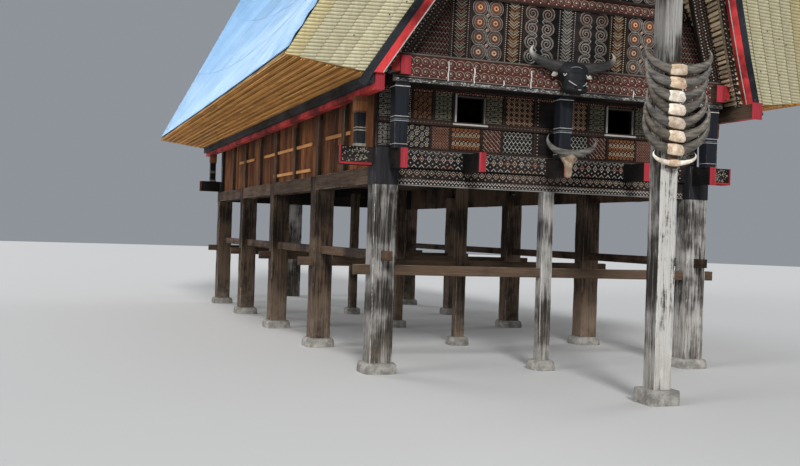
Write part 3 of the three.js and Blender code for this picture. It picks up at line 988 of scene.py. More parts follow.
@dataclass
class RoofCover:
    """Layered bamboo core, lapped strips under the eaves, rippled bands on the ends, zinc and ridge."""

    inset: float = 0.030
    strips: int = 10
    bands: int = 6
    ripple: float = 0.036
    wave: float = 0.076
    wave_depth: float = 0.008
    courses: int = 4
    sheet_width: float = 0.76
    sheet_thick: float = 0.0022
    nails: int = 14
    barge_x: float = 2.575

    def build(self) -> None:
        """Makes every piece of the cover."""
        bamboo, strip, zinc = BAMBOO.material(), SOFFIT.material(), ZINC.material()
        cream, cap, rod = CREAM_SHEET.material(), RIDGE_SHEET.material(), ROD.material()
        for side in Side:
            label = side.label
            stands = [f"roof_{label}"]
            make_piece(f"roof_core_{label}", bamboo, "bamboo", lambda s: self.core(s, side), stands)
            make_piece(f"eave_strips_{label}", strip, "bamboo", lambda s: self.soffit(s, side))
            make_piece(f"eave_rods_{label}", rod, "bamboo", lambda s: self.rods(s, side))
            stands = [f"zinc_{label}"]
            make_piece(f"zinc_sheets_{label}", zinc, "zinc", lambda s: self.sheets(s, side), stands)
        for end in End:
            bands = Shell()
            for side in Side:
                self.end_bands(bands, side, end)
            bands.build(f"verge_bands_{end.label}", cream, "bamboo")
        make_piece("ridge_roll", cap, "zinc", self.ridge, ["ridge_cap"])

    def core(self, shell: Shell, side: Side) -> None:
        """The thick body of one slope."""
        shell.block((8, 44, 14), lambda a, b, c: sided(self.core_point(a, b, c), side.value), tone=0.4)

    def core_point(self, skin: Array, length: Array, slope: Array) -> Array:
        """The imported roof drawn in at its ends, where the bands cover it."""
        point = ROOF.core(skin, 2 * length - 1, slope)
        back = self.inset * np.clip(skin * 8, 0, 1) * np.abs(2 * length - 1)
        point[..., 1] -= np.sign(point[..., 1]) * back
        point[..., 0] = np.maximum(point[..., 0], 2e-4)
        return point

    def soffit(self, shell: Shell, side: Side) -> None:
        """Strips parallel to the eave that hang lower at their outer edges, in four lengths each."""
        rng = np.random.default_rng(3 + side.value)
        drops = np.array([-0.004, 0.002, 0.012, 0.017, -0.004])
        mark = np.array([0.0, 0.0, 0.3, 1.0, 0.6])
        for index in range(self.strips):
            shares = (index + np.array([0, 0, 0.86, 1, 1])) / self.strips
            joints = np.sort(rng.uniform(-0.8, 0.8, 3)) * ROOF.outer_reach
            cuts = np.concatenate([[-ROOF.outer_reach], joints, [ROOF.outer_reach]])
            for start, stop in zip(cuts[:-1], cuts[1:]):
                y = np.linspace(start + 0.002, stop - 0.002, 16)
                sag = rng.uniform(-0.003, 0.003) + rng.uniform(-0.0012, 0.0012, len(y))
                hang = drops[None] + np.where(drops > 0, 1, 0)[None] * sag[:, None]
                rings = self.under_eave(shares[None], y[:, None], hang)
                place = rings[..., [1, 0, 2]] + rng.uniform(0, 9, 3)
                shell.tubes(
                    sided(rings, side.value)[None], tone=rng.uniform(0.3, 0.7), edge=mark, grain=place[None]
                )

    def under_eave(self, share: Array, y: Array, hang: Array | float) -> Array:
        """Points under the eave: a share of the way from the wall to the lip, hanging below by a drop."""
        low = np.array([ROOF.foot_x + ROOF.bearing, ROOF.foot_z])
        high = np.array([ROOF.lip_x, ROOF.lip_z])
        down = np.array([high[1] - low[1], low[0] - high[0]]) / np.linalg.norm(high - low)
        share, y, hang = np.broadcast_arrays(share, y, hang)
        flat = mix(low, high, share[..., None]) + hang[..., None] * down
        return coords(np.minimum(flat[..., 0], ROOF.lip_x - 0.001), y, flat[..., 1])

    def rods(self, shell: Shell, side: Side) -> None:
        """Two thin split rods under each strip, in uneven lengths."""
        rng = np.random.default_rng(13 + side.value)
        for index in range(self.strips):
            for share, width in ((0.96, 0.016), (0.66, 0.011))[int(index == self.strips - 1) :]:
                joints = np.sort(rng.uniform(-0.85, 0.85, 4)) * ROOF.outer_reach
                cuts = np.concatenate([[-ROOF.outer_reach + 0.01], joints, [ROOF.outer_reach - 0.01]])
                shares = np.full(len(cuts) - 1, (index + share) / self.strips)
                hang = 0.018 if share > 0.9 else 0.013
                ends = []
                for y in (cuts[:-1], cuts[1:]):
                    shift = rng.uniform(-0.004, 0.004, len(shares))
                    ends.append(sided(self.under_eave(shares + shift, y, hang), side.value))
                tones = rng.uniform(0.35, 0.8, len(shares))
                shell.bars(
                    ends[0], ends[1], (width, 0.010), bevel=0.003, count=3, fine=0, seed=index, tone=tones
                )

    def sheets(self, shell: Shell, side: Side) -> None:
        """Corrugated courses that overlap down the slope. Their height is a cosine along Y."""
        rng = np.random.default_rng(11 + side.value)
        ends = np.linspace(0.009, 0.992, self.courses + 1)
        for course in range(self.courses):
            start, stop = ends[course], min(ends[course + 1] + 0.012, 0.995)
            reach = ROOF.verge(ends[course + 1]) - 0.004
            columns = 2 * int(reach / self.wave * 5.5) + 1
            y = np.linspace(-reach, reach, columns)
            first = np.clip(np.maximum(start, ROOF.first_slope(np.abs(y) + 0.003)), 0, stop - 1e-3)
            rows = np.linspace(0, 1, 4)[:, None]
            slope = mix(first[None], stop, rows)
            ripple = self.wave_depth * np.cos(2 * np.pi * y / self.wave)[None]
            lift = 0.013 + ripple + 0.006 * (1 - rows) ** 2
            skin = ROOF.skin(slope, y[None])
            top = skin + ROOF.outward(skin) * lift[..., None]
            bottom = top - ROOF.outward(skin) * self.sheet_thick
            widths = (y + 40) / self.sheet_width
            tones = rng.uniform(0.25, 0.75, 200)[np.floor(widths).astype(int) % 200]
            seam = np.abs(widths % 1 - 0.5) > 0.485
            tone = np.broadcast_to(tones - 0.2 * seam, slope.shape)
            place = coords(slope * 6.5 + course * 3.7, np.broadcast_to(y, slope.shape), 0 * slope)
            slab(shell, sided(top, side.value), sided(bottom, side.value), tone, place)

    def end_bands(self, shell: Shell, side: Side, end: End) -> None:
        """Cream sheets in lapped bands parallel to the verge, with ripples by height.

        Rings are level: the place where a band's edge passes a height is looked up along the slope.
        A ripple is the root of a sine's size.
        """
        rng = np.random.default_rng(21 + 2 * side.value + end.value)
        slope = np.linspace(0.0, 1.0, 500)
        low, high = ROOF.core(0.0, 1.0, slope), ROOF.core(1.0, 1.0, slope)
        gap = self.barge_x - BARGE_SLOPE * (low[:, 2] - ROOF.foot_z) - low[:, 0]
        span = high[:, 0] - low[:, 0] + BARGE_SLOPE * (high[:, 2] - low[:, 2])
        foot = np.clip(gap / span - 0.05, 0.0, 1.0)
        level = np.arange(ROOF.foot_z, ROOF.ridge_tip + self.ripple, self.ripple / 4)
        wave = np.array([-0.0065, 0.0015, 0.0035, 0.0015])
        front = np.array([0.0, 1.0, 1.0, 1.0, 0.0])
        depth = np.array([-self.inset, -0.004, -0.010, -0.013, -self.inset])
        for band in range(self.bands):
            columns = []
            for extra in (0.0, 0.0, 0.94, 1.0, 1.0):
                curve = mix(low, high, mix(foot, 1.0, (band + extra) / self.bands)[:, None])
                rows = [np.interp(level, curve[:, 2], curve[:, axis]) for axis in range(3)]
                columns.append(np.stack(rows, -1))
            rings = np.stack(columns, 1)
            phase = (np.arange(len(level)) + band) % 4
            wobble = np.interp(level, np.linspace(3, 10, 14), rng.uniform(-0.0015, 0.0015, 14))
            rings[..., 1] += depth[None] + front[None] * (wave[phase] + wobble)[:, None]
            rings[..., 0] = np.maximum(rings[..., 0], 3e-4)
            # Edge mark: painted shade in each ripple trough (phase 0), and dark laps along the band edges.
            mark = np.maximum(0.75 * (phase == 0)[:, None], np.array([0.3, 0.35, 0.0, 0.5, 0.9])[None])
            place = rings[..., [2, 0, 1]] + rng.uniform(0, 9, 3)
            golden = np.array([1.0, 0.93, 0.74]) if band == self.bands - 1 else np.ones(3)
            points = sided(rings * (1, -1, 1), side.value, end.value)
            tone = rng.uniform(0.35, 0.65)
            shell.tubes(points[None], golden * rng.uniform(0.94, 1.04), tone, mark[None], place[None])
            picks = rng.integers(40, len(level) - 60, self.nails)
            nails = mix(points[picks, 1], points[picks, 2], rng.uniform(0.1, 0.9, (self.nails, 1)))
            outward = (0.0, 0.005 * end.value, 0.0)
            rust = (0.08, 0.07, 0.06)
            shell.bars(nails - outward, nails + outward, 0.014, bevel=0.004, fine=0, tint=rust)

    def ridge(self, shell: Shell) -> None:
        """A folded cap along the saddle: flat wings on both slopes and a round roll on the ridge."""
        along = np.linspace(-1, 1, 200)
        turn = np.radians(np.linspace(10, 170, 9))
        slopes = 1 - np.array([0.30, 0.18, 0.07]) / ROOF.lip_x
        wings = [ROOF.skin(slope, along * (ROOF.verge(slope) - 0.008)) for slope in slopes]
        y = along * (ROOF.verge(1.0) - 0.008)
        right = [p + ROOF.outward(p) * 0.024 for p in wings]
        left = [p * (-1, 1, 1) for p in reversed(right)]
        top = ROOF.skin(1.0, y)
        roll = [top + coords(0.05 * math.cos(t), 0 * y, 0.017 + 0.05 * math.sin(t)) for t in turn]
        upper = np.stack(right + roll + left, 0)
        lower = upper - (0.0, 0.0, 0.010)
        tone = np.broadcast_to(0.45 + 0.1 * np.sign(np.sin(y * 3.4)), upper.shape[:2])
        slab(shell, upper, lower, tone, upper)


def slab(shell: Shell, top: Array, bottom: Array, tone: Array, place: Array) -> None:
    """Adds a closed thin sheet between two grids of points.

    Args:
        shell: Where the sheet goes.
        top: Upper grid, shape (rows, columns, 3).
        bottom: Lower grid of the same shape.
        tone: Tone of each grid point.
        place: Grain place of each grid point.
    """
    index = np.arange(top[..., 0].size).reshape(top.shape[:2])
    sheet = np.stack([index[:-1, :-1], index[1:, :-1], index[1:, 1:], index[:-1, 1:]], -1).reshape(-1, 4)
    rim = np.concatenate([index[0, :], index[1:, -1], index[-1, -2::-1], index[-2:0:-1, 0]])
    rim_under = rim + index.size
    sides = np.stack([rim, np.roll(rim, -1), np.roll(rim_under, -1), rim_under], -1)
    faces = np.concatenate([sheet, sheet[:, [0, 3, 2, 1]] + index.size, sides])
    shell.add(packed(np.stack([top, bottom]), tone=tone, grain=place), faces)


# Carving


@dataclass(frozen=True)
class Face:
    """A flat place for carving: u runs to the right and v up, seen from outside."""

    origin: tuple[float, float, float]
    u: tuple[float, float, float]
    v: tuple[float, float, float]

    @property
    def normal(self) -> Array:
        """The way out of the face."""
        return unit(np.cross(self.u, self.v))

    def at(self, flat: Array, height: Any = 0.0) -> Array:
        """Points at u, v and a height above the face."""
        flat = np.asarray(flat, float)
        lift = np.asarray(height, float)[..., None] * self.normal
        across, up = flat[..., :1] * np.array(self.u), flat[..., 1:2] * np.array(self.v)
        return np.array(self.origin) + across + up + lift

    def raised(self, height: float) -> Face:
        """The face moved outwards."""
        return Face(tuple(self.at(np.zeros(2), height)), self.u, self.v)


def end_face(end: End, reach: float, lean: float = 0.0, from_z: float = 0.0) -> Face:
    """The face at a reach from the middle of the house that looks out at an end and may lean out."""
    y = end.value * (reach - lean * from_z)
    return Face((0.0, y, 0.0), (-float(end.value), 0.0, 0.0), (0.0, end.value * lean, 1.0))


def spiral(turns: float = 1.6, count: int = 15, start: float = 0.0) -> Array:
    """A spiral of unit size whose radius falls from 1 to 0.1 while it turns."""
    share = np.linspace(0, 1, count)
    angle = start + 2 * np.pi * turns * share
    radius = mix(1.0, 0.1, share**0.85)
    return coords(radius * np.cos(angle), radius * np.sin(angle))


def ring(count: int = 14) -> Array:
    """Points round a circle of unit size."""
    angle = 2 * np.pi * np.arange(count) / count
    return coords(np.cos(angle), np.sin(angle))


CHEVRON = np.array([[-1.0, 0.5], [0.0, -0.5], [1.0, 0.5]])
DIAMOND = np.array([[1.0, 0.0], [0.0, 1.0], [-1.0, 0.0], [0.0, -1.0]])
Area = tuple[float, float, float, float]


@dataclass
class Carving:
    """Raised painted ribbons, pegs and frames on one face."""

    face: Face
    shell: Shell = field(default_factory=Shell)
    frames: Shell = field(default_factory=Shell)
    limit: Callable[[Array], Array] | None = None

    def kept(self, centres: Array, reach: float) -> Array:
        """The centres that fit under the slanting limit."""
        if self.limit is None or not len(centres):
            return centres
        return centres[np.abs(centres[:, 0]) + reach < self.limit(centres[:, 1] + reach)]

    def cells(self, area: Area, across: int, up: int) -> tuple[Array, float, float]:
        """Centres of a grid of cells in an area, and the size of a cell."""
        wide, high = (area[2] - area[0]) / across, (area[3] - area[1]) / up
        u = area[0] + wide * (np.arange(across) + 0.5)
        v = area[1] + high * (np.arange(up) + 0.5)
        grid = np.stack(np.meshgrid(u, v, indexing="ij"), -1).reshape(-1, 2)
        return self.kept(grid, max(abs(wide), high) / 2), abs(wide), high

    def spread(self, area: Area, pitch: float, squeeze: float = 1.0) -> tuple[Array, float, float, int]:
        """Cells about a pitch apart, two or more each way, and how many stand over each other."""
        across = max(2, round(abs(area[2] - area[0]) / pitch))
        up = max(2, round((area[3] - area[1]) / (pitch * squeeze)))
        return (*self.cells(area, across, up), up)

    def between(self, area: Area, wide: float, high: float, up: int) -> Array:
        """Places in the middle of every four cells of two columns."""
        middle = (area[0] + area[2]) / 2
        inner = (middle - wide / 2, area[1] + high / 2, middle + wide / 2, area[3] - high / 2)
        return self.cells(inner, 1, up - 1)[0]

    def climb(self, area: Area, centres: Array) -> Array:
        """Share of the area's height at each centre."""
        return np.clip((centres[:, 1] - area[1]) / (area[3] - area[1]), 0, 1)[:, None]

    def draw(
        self,
        shape: Array,
        centres: Array,
        scale: Any,
        width: float,
        tint: Array | Colour,
        height: float = 0.007,
        loop: bool = False,
        flip: Array | None = None,
    ) -> None:
        """Repeats a line at many centres as a raised ribbon with slanting sides.

        Args:
            shape: Points of the line, of unit size.
            centres: Where it goes.
            scale: Size, or size across and up.
            width: Width of the ribbon.
            tint: Paint of all or of each.
            height: Height of the ribbon.
            loop: True for a closed line.
            flip: 1 or -1 across for each centre.
        """
        if not len(centres):
            return
        lines = np.broadcast_to(shape * np.asarray(scale, float), (len(centres), *shape.shape)).copy()
        if flip is not None:
            lines[..., 0] *= np.asarray(flip, float)[:, None]
        self.strokes(lines + centres[:, None], width, tint, height, loop)

    def strokes(
        self, lines: Array, width: float, tint: Array | Colour, height: float = 0.007, loop: bool = False
    ) -> None:
        """Raised ribbons with slanting sides along lines on the face.

        Args:
            lines: Points, shape (lines, points, 2).
            width: Width of the ribbons.
            tint: Paint of all or of each.
            height: Height of the ribbons.
            loop: True for closed lines.
        """
        run = np.roll(lines, -1, 1) - np.roll(lines, 1, 1) if loop else np.gradient(lines, axis=1)
        run = unit(run)
        side = coords(-run[..., 1], run[..., 0])
        steps = np.array([[-0.5, -0.002], [-0.32, height], [0.32, height], [0.5, -0.002]])
        flat = lines[:, :, None] + side[:, :, None] * steps[:, :1] * width
        rings = self.face.at(flat, np.broadcast_to(steps[:, 1], flat.shape[:3]))
        self.shell.tubes(rings, tint, tone=0.5, edge=np.array([0.0, 0.3, 0.3, 0.0]), loop=loop)

    def plate(self, area: Area, tint: Colour) -> None:
        """A thin painted ground under a panel."""
        middle = (area[0] + area[2]) / 2
        self.bar((middle, area[1]), (middle, area[3]), abs(area[2] - area[0]), 0.005, tint)

    def pegs(
        self,
        centres: Array,
        radius: Any,
        tint: Array | Colour,
        sides: int = 6,
        height: float = 0.007,
        turn: float = 0.0,
    ) -> None:
        """Low pointed pegs: a polygon round each centre that rises to a point.

        Args:
            centres: Where they go.
            radius: Size, or size across and up.
            tint: Paint of all or of each.
            sides: Corners of the polygon.
            height: Height of the point.
            turn: Turn of the polygon in radians.
        """
        if not len(centres):
            return
        angle = turn + 2 * np.pi * np.arange(sides) / sides
        shape = coords(np.cos(angle), np.sin(angle)) * np.asarray(radius, float)
        foot = self.face.at(centres[:, None] + shape, -0.002)
        rim = self.face.at(centres[:, None] + shape * 0.8, height)
        self.shell.tubes(np.stack([foot, rim], 1), tint)

    def bar(
        self,
        start: Sequence[float],
        stop: Sequence[float],
        width: float,
        height: float,
        tint: Colour | None = None,
    ) -> None:
        """A straight frame bar on the face, painted where it has a tint."""
        ends = self.face.at(np.array([start, stop]), height / 2 - 0.001)
        target = self.frames if tint is None else self.shell
        look = {} if tint is None else {"tint": tint}
        look["seed"] = self.frames.count + 1
        target.bars(*ends, (width, height), up=self.face.normal, bevel=0.003, **look)

    def dotted(
        self, u: float, low: float, high: float, pitch: float, tint: Colour, size: float = 0.008
    ) -> None:
        """A column of pegs."""
        v = np.arange(low + pitch / 2, high, pitch)
        self.pegs(self.kept(coords(0 * v + u, v), size), size, tint, sides=5)

    def running(self, area: Area, pitch: float, rows: int, tints: tuple[Colour, Colour]) -> None:
        """Rows of running spirals with a tail to the next, a pale dot in each and dots between."""
        across = max(1, round((area[2] - area[0]) / pitch))
        centres, wide, high = self.cells(area, across, rows)
        size = min(wide, high) * 0.47
        self.draw(spiral(1.75, 16, 0.9), centres, size, 0.0075, tints[0])
        tail = np.array([[0.55, 0.80], [1.0, 0.62], [1.35, 0.0], [1.5, -0.6]])
        self.draw(tail, centres, size, 0.0075, tints[0])
        self.draw(spiral(1.2, 9, 3.4), centres, size * 0.74, 0.009, tints[1])
        self.pegs(centres, size * 0.25, (0.86, 0.76, 0.68), sides=6)
        between = centres + (wide / 2, -high / 2 + 0.012)
        self.pegs(self.kept(between, 0.01), 0.011, (0.84, 0.56, 0.48), sides=4)

    def hearts(self, area: Area, rows: int) -> None:
        """Pairs of large double spirals that turn towards each other, tied round dark diamonds."""
        centres, wide, high = self.cells(area, 2, rows)
        size = min(wide, high) * 0.55
        middle = (area[0] + area[2]) / 2
        flip = np.sign(middle - centres[:, 0])
        share = self.climb(area, centres)
        warm = mix(np.array(GREY), np.array((0.40, 0.16, 0.09)), share**1.5)
        turned = spiral(2.6, 36, 1.1)
        self.draw(turned, centres, size * np.array([1.12, 1.06]), 0.0055, GREY, flip=flip)
        self.draw(turned, centres, size * np.array([0.97, 0.92]), 0.0050, warm, flip=flip)
        cross = self.between(area, wide, high, rows)
        arc = np.array([[-1.55, 0.42], [-1.05, 0.50], [-0.62, 0.30], [-0.36, 0.0]])
        for across, up in ((1, 1), (1, -1), (-1, 1), (-1, -1)):
            for grow in (1.0, 0.82):
                self.draw(arc * (across, up), cross, size * grow, 0.0055, GREY)
        self.pegs(cross, (size * 0.26, size * 0.34), INK, sides=4, height=0.008)

    def rounds(self, area: Area, rows: int) -> None:
        """Two columns of thin rings in rings with a pale eye, tied aslant, and small diamonds between."""
        centres, wide, high = self.cells(area, 2, rows)
        size = min(wide, high) * 0.53
        share = self.climb(area, centres)
        eye = mix(np.array((0.62, 0.36, 0.22)), np.array((0.72, 0.25, 0.05)), share)
        band = mix(np.array((0.10, 0.045, 0.03)), np.array((0.26, 0.075, 0.03)), share**1.5)
        self.pegs(centres, size * 0.95, band, sides=16, height=0.002)
        for radius, bright in ((1.0, 1.0), (0.84, 0.35), (0.68, 0.9), (0.52, 0.3)):
            self.draw(ring(20), centres, size * radius, 0.0055, np.array(GREY) * bright, loop=True)
        self.pegs(centres, size * 0.40, eye, sides=10, height=0.007)
        self.draw(ring(10), centres, size * 0.25, 0.0060, (0.86, 0.74, 0.62), loop=True, height=0.010)
        self.pegs(centres, size * 0.15, INK, sides=6, height=0.010)
        middle = (area[0] + area[2]) / 2
        knots = coords(0 * np.unique(centres[:, 1]) + middle, np.unique(centres[:, 1]))
        link = np.array([[-0.62, 0.86], [-0.22, 0.62], [0.0, 0.0], [0.22, -0.62], [0.62, -0.86]])
        for shift in (-0.09, 0.09):
            self.draw(link + np.array([shift, shift]), knots, size, 0.0055, GREY, height=0.009)
        cross = self.between(area, wide, high, rows)
        self.pegs(cross, size * 0.26, (0.80, 0.52, 0.42), sides=4)
        self.pegs(cross, size * 0.12, (0.40, 0.05, 0.04), sides=4, height=0.009)

    def leaves(self, area: Area, pitch: float, tints: tuple[Colour, Colour]) -> None:
        """A dense column of thin chevrons in two paints between two dotted borders."""
        middle, half = (area[0] + area[2]) / 2, abs(area[2] - area[0]) / 2
        rows = max(1, round((area[3] - area[1]) / pitch))
        inner = (middle - half * 0.5, area[1], middle + half * 0.5, area[3])
        centres, _, high = self.cells(inner, 1, rows)
        wing = np.array([[-1.0, 0.70], [-0.5, 0.22], [0.0, -0.45], [0.5, 0.22], [1.0, 0.70]])
        odd = (np.arange(len(centres)) % 3 == 1)[:, None]
        paints = np.where(odd, np.array(tints[1]), np.array(tints[0]))
        self.draw(wing, centres, (half * 0.60, high * 1.1), 0.0075, paints)
        self.draw(wing, centres + (0, high * 0.5), (half * 0.44, high * 0.8), 0.0065, paints * 0.75)
        for edge in (-0.84, 0.84):
            self.dotted(middle + half * edge, area[1], area[3], 0.024, tints[0], 0.0075)

    def weave(self, area: Area, pitch: float, tints: tuple[Colour, Colour]) -> None:
        """Closely set chevrons in two paints, so that the ground reads as woven triangles."""
        centres, wide, high, _ = self.spread(area, pitch, 0.7)
        odd = np.round((centres[:, 1] - area[1]) / high - 0.5).astype(int) % 2 == 1
        for mask, tint, turn in ((odd, tints[0], 1), (~odd, tints[1], -1)):
            self.draw(CHEVRON * (1, turn), centres[mask], (wide * 0.48, high * 0.8), 0.007, tint)
            dots = centres[mask] - (0, turn * high * 0.25)
            self.pegs(dots, (wide * 0.17, high * 0.22), tints[0], sides=3, turn=-turn * math.pi / 2)

    def lattice(self, area: Area, pitch: float, tints: tuple[Colour, Colour]) -> None:
        """Slanting lines both ways, cut off at the panel's edges.

        Each line runs where the sum or the difference of u and v is a step of the pitch.
        """
        wide, high = area[2] - area[0], area[3] - area[1]
        for turn, tint in zip((1, -1), tints):
            step = np.arange(pitch / 2, wide + high, pitch)
            low = np.maximum(step - high, 0)
            ends = coords(low, np.minimum(step, wide))
            lines = coords(ends, step[:, None] - ends)
            if turn < 0:
                lines[..., 1] = high - lines[..., 1]
            self.strokes(lines + np.array(area[:2]), 0.0075, tint)
        columns, rows = round(wide / pitch / 1.4), round(high / pitch / 1.4)
        self.pegs(self.cells(area, columns, rows)[0], 0.009, tints[0], sides=4)

    def swirls(self, area: Area, pitch: float, tints: tuple[Colour, Colour]) -> None:
        """A dense field of small curls turned two ways, with dots between."""
        centres, wide, high, up = self.spread(area, pitch)
        odd = (np.arange(len(centres)) + np.arange(len(centres)) // up) % 2
        for turn in (0, 1):
            part = centres[odd == turn]
            curl = spiral(1.5, 12, math.pi * turn + 0.6)
            self.draw(curl, part, min(wide, high) * 0.48, 0.0065, tints[turn])
        corner = self.kept(centres + (wide / 2, high / 2), 0.01)
        self.pegs(corner[(corner[:, 0] < area[2]) & (corner[:, 1] < area[3])], 0.008, tints[1], sides=5)

    def keys(self, area: Area, pitch: float) -> None:
        """Diamonds in diamonds with pale crosses between."""
        centres, wide, high, _ = self.spread(area, pitch)
        self.draw(DIAMOND, centres, (wide * 0.46, high * 0.46), 0.0065, CREAM, loop=True)
        self.draw(DIAMOND, centres, (wide * 0.28, high * 0.28), 0.0065, ORANGE, loop=True)
        self.pegs(centres, 0.008, (0.85, 0.70, 0.55), sides=4)
        self.pegs(centres + (wide / 2, 0), 0.008, ORANGE, sides=4)

    def frets(self, area: Area, pitch: float, tint: Colour) -> None:
        """Squared hooks that turn back on themselves, every second one mirrored."""
        centres, wide, high, up = self.spread(area, pitch)
        hook = np.array(
            [[-0.9, -0.9], [0.9, -0.9], [0.9, 0.0], [-0.3, 0.0], [-0.9, 0.0], [-0.9, 0.9], [0.9, 0.9]]
        )
        flip = np.where(np.arange(len(centres)) // up % 2, -1.0, 1.0)
        self.draw(hook, centres, (wide * 0.42, high * 0.42), 0.0065, tint, flip=flip)
        self.pegs(centres + (0, high * 0.2), 0.006, CREAM, sides=4)

    def build(self, name: str, paint: Material, wood: Material) -> None:
        """Makes the carving, and its frames where it has them."""
        if self.shell.count:
            self.shell.build(f"{name}_carving", paint, "carved_wood")
        if self.frames.count:
            self.frames.build(f"{name}_frames", wood, "carved_wood")


@dataclass
class Facade:
    """One carved end of the house: wall panels, windows, lintel, sill bands and beam ends."""

    end: End
    wall_reach: float = 5.20
    reaches: tuple[float, ...] = (5.20, 5.70, 5.30, 5.26)
    window: Area = (0.85, 2.93, 1.20, 3.24)
    beams: tuple[float, ...] = (-2.04, -1.09, 0.0, 1.09, 2.04)
    drips: tuple[tuple[float, float, float], ...] = (
        (-1.52, 3.30, 3.56),
        (-1.20, 3.31, 3.52),
        (-0.83, 3.29, 3.40),
        (-0.48, 3.29, 3.54),
        (0.9, 3.3, 3.42),
        (1.6, 3.3, 3.5),
    )

    def build(self, paint: Material, wood: Material) -> None:
        """Carves every face of the end."""
        label = self.end.label
        for reach, make in zip(self.reaches, (self.wall, self.lintel, self.sill, self.apron)):
            carving = Carving(end_face(self.end, reach))
            make(carving)
            carving.build(f"facade_{make.__name__}_{label}", paint, wood)
        make_piece(f"beam_end_faces_{label}", paint, "red_paint", self.beam_ends)

    def wall(self, c: Carving) -> None:
        """Panels of spirals, lattice, curls and diamonds round the windows, mirrored about the middle."""
        low, rail, high, top = 2.60, 2.885, 2.945, 3.315
        stiles = (0.155, 0.593, 0.86, 1.27, 1.515, 1.865, 2.19)
        brown, moss, night = (0.055, 0.020, 0.012), (0.028, 0.026, 0.018), (0.014, 0.013, 0.013)
        panels = (
            (0, 0.19, 0.575, night, c.weave, 0.052, (WHITE, GREY)),
            (0, 0.61, 0.84, brown, c.lattice, 0.055, (GREY, RUST)),
            (0, 0.88, 1.255, brown, c.swirls, 0.054, (ORANGE, CREAM)),
            (0, 1.285, 1.50, brown, c.lattice, 0.034, ((0.32, 0.17, 0.125), (0.27, 0.14, 0.10))),
            (0, 1.53, 1.85, night, c.swirls, 0.062, (CREAM, GREY)),
            (0, 1.88, 2.17, night, c.frets, 0.055, GREY),
            (1, 0.19, 0.55, brown, c.keys, 0.066),
            (1, 0.60, 0.81, moss, c.frets, 0.058, (0.42, 0.39, 0.27)),
            (1, 1.26, 1.47, moss, c.frets, 0.052, (0.36, 0.35, 0.25)),
            (1, 1.51, 1.745, brown, c.swirls, 0.056, (ORANGE, (0.34, 0.24, 0.16))),
            (1, 1.775, 1.87, night, c.leaves, 0.045, (CREAM, RUST)),
            (1, 1.90, 2.17, moss, c.frets, 0.060, GREY),
        )
        for side in (-1, 1):
            for row, start, stop, ground, make, *how in panels:
                u = sorted((side * start, side * stop))
                rows = (low + 0.015, rail - 0.008) if row == 0 else (high + 0.008, top - 0.045)
                area = (u[0], rows[0], u[1], rows[1])
                c.plate(area, ground)
                make(area, *how)
            for bay in zip(stiles[:-1], stiles[1:]):
                for edge in bay:
                    c.bar((side * edge, low), (side * edge, rail), 0.022, 0.020)
            for edge in (0.155, 0.575, 0.825, 1.235, 1.49, 1.76, 1.885, 2.19):
                c.bar((side * edge, high), (side * edge, top), 0.024, 0.022)
            u0, v0, u1, v1 = self.window
            left, right = sorted((side * u0, side * u1))
            # Window frame: a pale left jamb, a darker right jamb and head, and a pale sill bar painted as a
            # highlight.
            c.bar((left - 0.014, v0 - 0.02), (left - 0.014, v1 + 0.035), 0.020, 0.034, (0.56, 0.54, 0.50))
            c.bar((right + 0.012, v0 - 0.02), (right + 0.012, v1 + 0.02), 0.018, 0.026, (0.24, 0.22, 0.19))
            c.bar((left - 0.03, v1 + 0.014), (right + 0.03, v1 + 0.014), 0.020, 0.026, (0.10, 0.08, 0.07))
            c.bar((left - 0.05, v0 - 0.014), (right + 0.05, v0 - 0.014), 0.022, 0.044, (0.52, 0.50, 0.46))
            c.dotted(side * 0.115, low, top, 0.04, CREAM)
        c.bar((-2.19, (rail + high) / 2), (2.19, (rail + high) / 2), high - rail, 0.034)
        c.bar((-2.19, low - 0.006), (2.19, low - 0.006), 0.024, 0.030)
        c.bar((-2.19, top + 0.004), (2.19, top + 0.004), 0.03, 0.030)
        c.running((-2.17, top - 0.045, 2.17, top - 0.012), 0.062, 1, (RUST, CREAM))
        u = np.arange(-2.15, 2.16, 0.045)
        dots = Carving(c.face.raised(0.033), c.shell)
        dots.pegs(coords(u, (rail + high) / 2), (0.014, 0.010), (0.20, 0.12, 0.09), sides=4, height=0.004)

    def lintel(self, c: Carving) -> None:
        """Two rows of running spirals over a worn pale moulding, with drips of whitewash."""
        c.plate((-2.175, 3.355, 2.175, 3.6), (0.105, 0.034, 0.024))
        c.running((-2.16, 3.362, 2.16, 3.59), 0.104, 2, ((0.46, 0.37, 0.30), (0.045, 0.022, 0.018)))
        c.bar((-2.185, 3.606), (2.185, 3.606), 0.020, 0.016, (0.16, 0.13, 0.11))
        c.bar((-2.185, 3.352), (2.185, 3.352), 0.014, 0.010, (0.20, 0.17, 0.15))
        c.bar((-2.185, 3.312), (2.185, 3.312), 0.046, 0.022, (0.09, 0.08, 0.075))
        worn = Carving(c.face.raised(0.021), c.shell)
        rng = np.random.default_rng(5)
        flakes = 420
        spots = coords(rng.uniform(-2.15, 2.15, flakes), rng.uniform(3.294, 3.33, flakes))
        sizes = rng.uniform(0.5, 1.4, (flakes, 1, 1)) * np.array([0.014, 0.005])
        paints = rng.uniform(0.25, 0.72, (flakes, 1)) * (1.0, 0.98, 0.92)
        worn.pegs(spots, sizes, paints, sides=5, height=0.003)
        drip = np.array([[0.0, 0.5], [0.06, 0.2], [-0.05, -0.1], [0.02, -0.5]])
        for place, low, high in self.drips:
            middle = np.array([[place, (low + high) / 2]])
            c.draw(drip, middle, (0.09, high - low), 0.017, (0.86, 0.84, 0.80), height=0.010)

    def sill(self, c: Carving) -> None:
        """A band of small carved corners, diamonds and dots; pale flowers on the ends past the walls."""
        pitch = 0.092
        u = np.arange(-1.84, 1.85, pitch)
        free = np.min(np.abs(u[:, None] - np.array(self.beams)[None]), 1) > 0.075
        u = u[free]

        def row(v: float) -> Array:
            """Centres at one height."""
            return coords(u, v)

